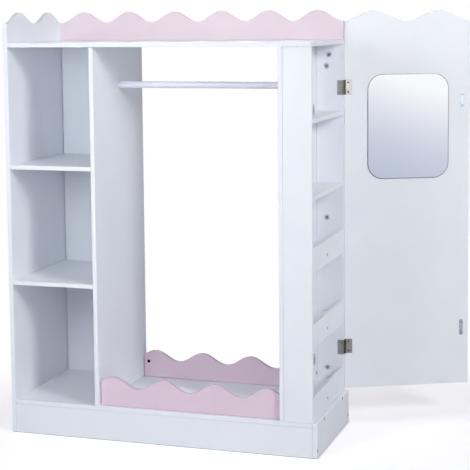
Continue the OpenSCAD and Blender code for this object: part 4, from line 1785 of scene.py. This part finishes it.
    def world(self) -> None:
        """Lights the room evenly, and shows white to the camera and in glossy surfaces.

        Just below the horizon the glossy world falls from white to a cool grey and then to a darker one: a
        painted reflection of the far end of a studio floor, which only glossy rays see. The sweep tilts that
        horizon a little: its value is the sum of the direction times the sweep, and the first fall follows a
        power of it.
        """
        world = bpy.data.worlds.new("studio_world")
        bpy.context.scene.world = world
        tree = emptied(world)
        ambient = {"Color": linear(self.ambient_tint), "Strength": self.ambient}
        even = add_node(tree, "ShaderNodeBackground", ambient)
        rise = along(tree, add_node(tree, "ShaderNodeTexCoord", {}, "Generated"), self.sweep)
        horizon = mapped(tree, rise, (self.sweep_low, self.sweep_high))
        horizon = maths(tree, "POWER", horizon, self.sweep_power)
        below = mapped(tree, rise, (self.sweep_deep, self.sweep_low))
        low = blend(tree, below, linear(self.mirror_deep), linear(self.mirror_low))
        colour = blend(tree, horizon, low, linear("#FFFFFF"))
        swept = add_node(tree, "ShaderNodeBackground", {"Color": colour, "Strength": 1.0})
        white = add_node(tree, "ShaderNodeBackground", {"Color": linear("#FFFFFF"), "Strength": 1.0})
        rays = ("Is Camera Ray", "Is Transmission Ray", "Is Glossy Ray")
        camera, through, glossy = (add_node(tree, "ShaderNodeLightPath", {}, ray) for ray in rays)
        lit = mixed(tree, glossy, even, swept)
        surface = mixed(tree, maths(tree, "MAXIMUM", camera, through), lit, white)
        add_node(tree, "ShaderNodeOutputWorld", {"Surface": surface})

    def camera(self) -> None:
        """Sets up the photograph's camera: its place, direction, lens and framing."""
        yaw, pitch, roll = (math.radians(a) for a in (self.yaw_deg, self.pitch_deg, self.roll_deg))
        ahead = Vector((-math.sin(yaw) * math.cos(pitch), math.cos(yaw) * math.cos(pitch), math.sin(pitch)))
        level = Vector((math.cos(yaw), math.sin(yaw), 0))
        above = level.cross(ahead)
        right = math.cos(roll) * level + math.sin(roll) * above
        up = -math.sin(roll) * level + math.cos(roll) * above
        data = bpy.data.cameras.new("photo_camera")
        data.sensor_width = 36
        data.lens = self.lens_mm
        data.shift_x, data.shift_y = self.shift
        camera = bpy.data.objects.new("photo_camera", data)
        facing_axes = Matrix((right, up, -ahead)).transposed().to_4x4()
        camera.matrix_world = Matrix.Translation(self.eye) @ facing_axes
        bpy.context.scene.collection.objects.link(camera)
        bpy.context.scene.camera = camera

    def build(self) -> None:
        """Builds the whole studio."""
        self.camera()
        self.floor()
        self.world()
        for lamp in self.lamps:
            lamp.build()
        bpy.context.scene.view_settings.view_transform = "Standard"


def main() -> None:
    """Builds the studio and then each sub-assembly in turn."""
    logging.basicConfig(level=logging.INFO, format="%(message)s")
    carcass = Carcass()
    door = MirrorDoor(carcass.crest())
    fittings = (HangingRail(), CamNuts(), BayFittings(), Catches(), Hinges(), door, Dowels())
    for assembly in (Studio(), carcass, *fittings):
        assembly.build()
    screw_group("carcass_fixings", "carcass_screws", carcass_screw, BLACK_OXIDE)
    screw_group("bin_rail_fixings", "bin_rail_screws", carcass_screw, DULL_ZINC)
    screw_group("rail_fixings", "hanging_rail_screws", carcass_screw, ZINC)
    screw_group("catch_fixings", "catch_screws", small_screw, ZINC)
    dress_node("cam_bolts", ZINC)
    dress_node("mirror_tape", FOAM_TAPE)


if __name__ == "__main__":
    main()
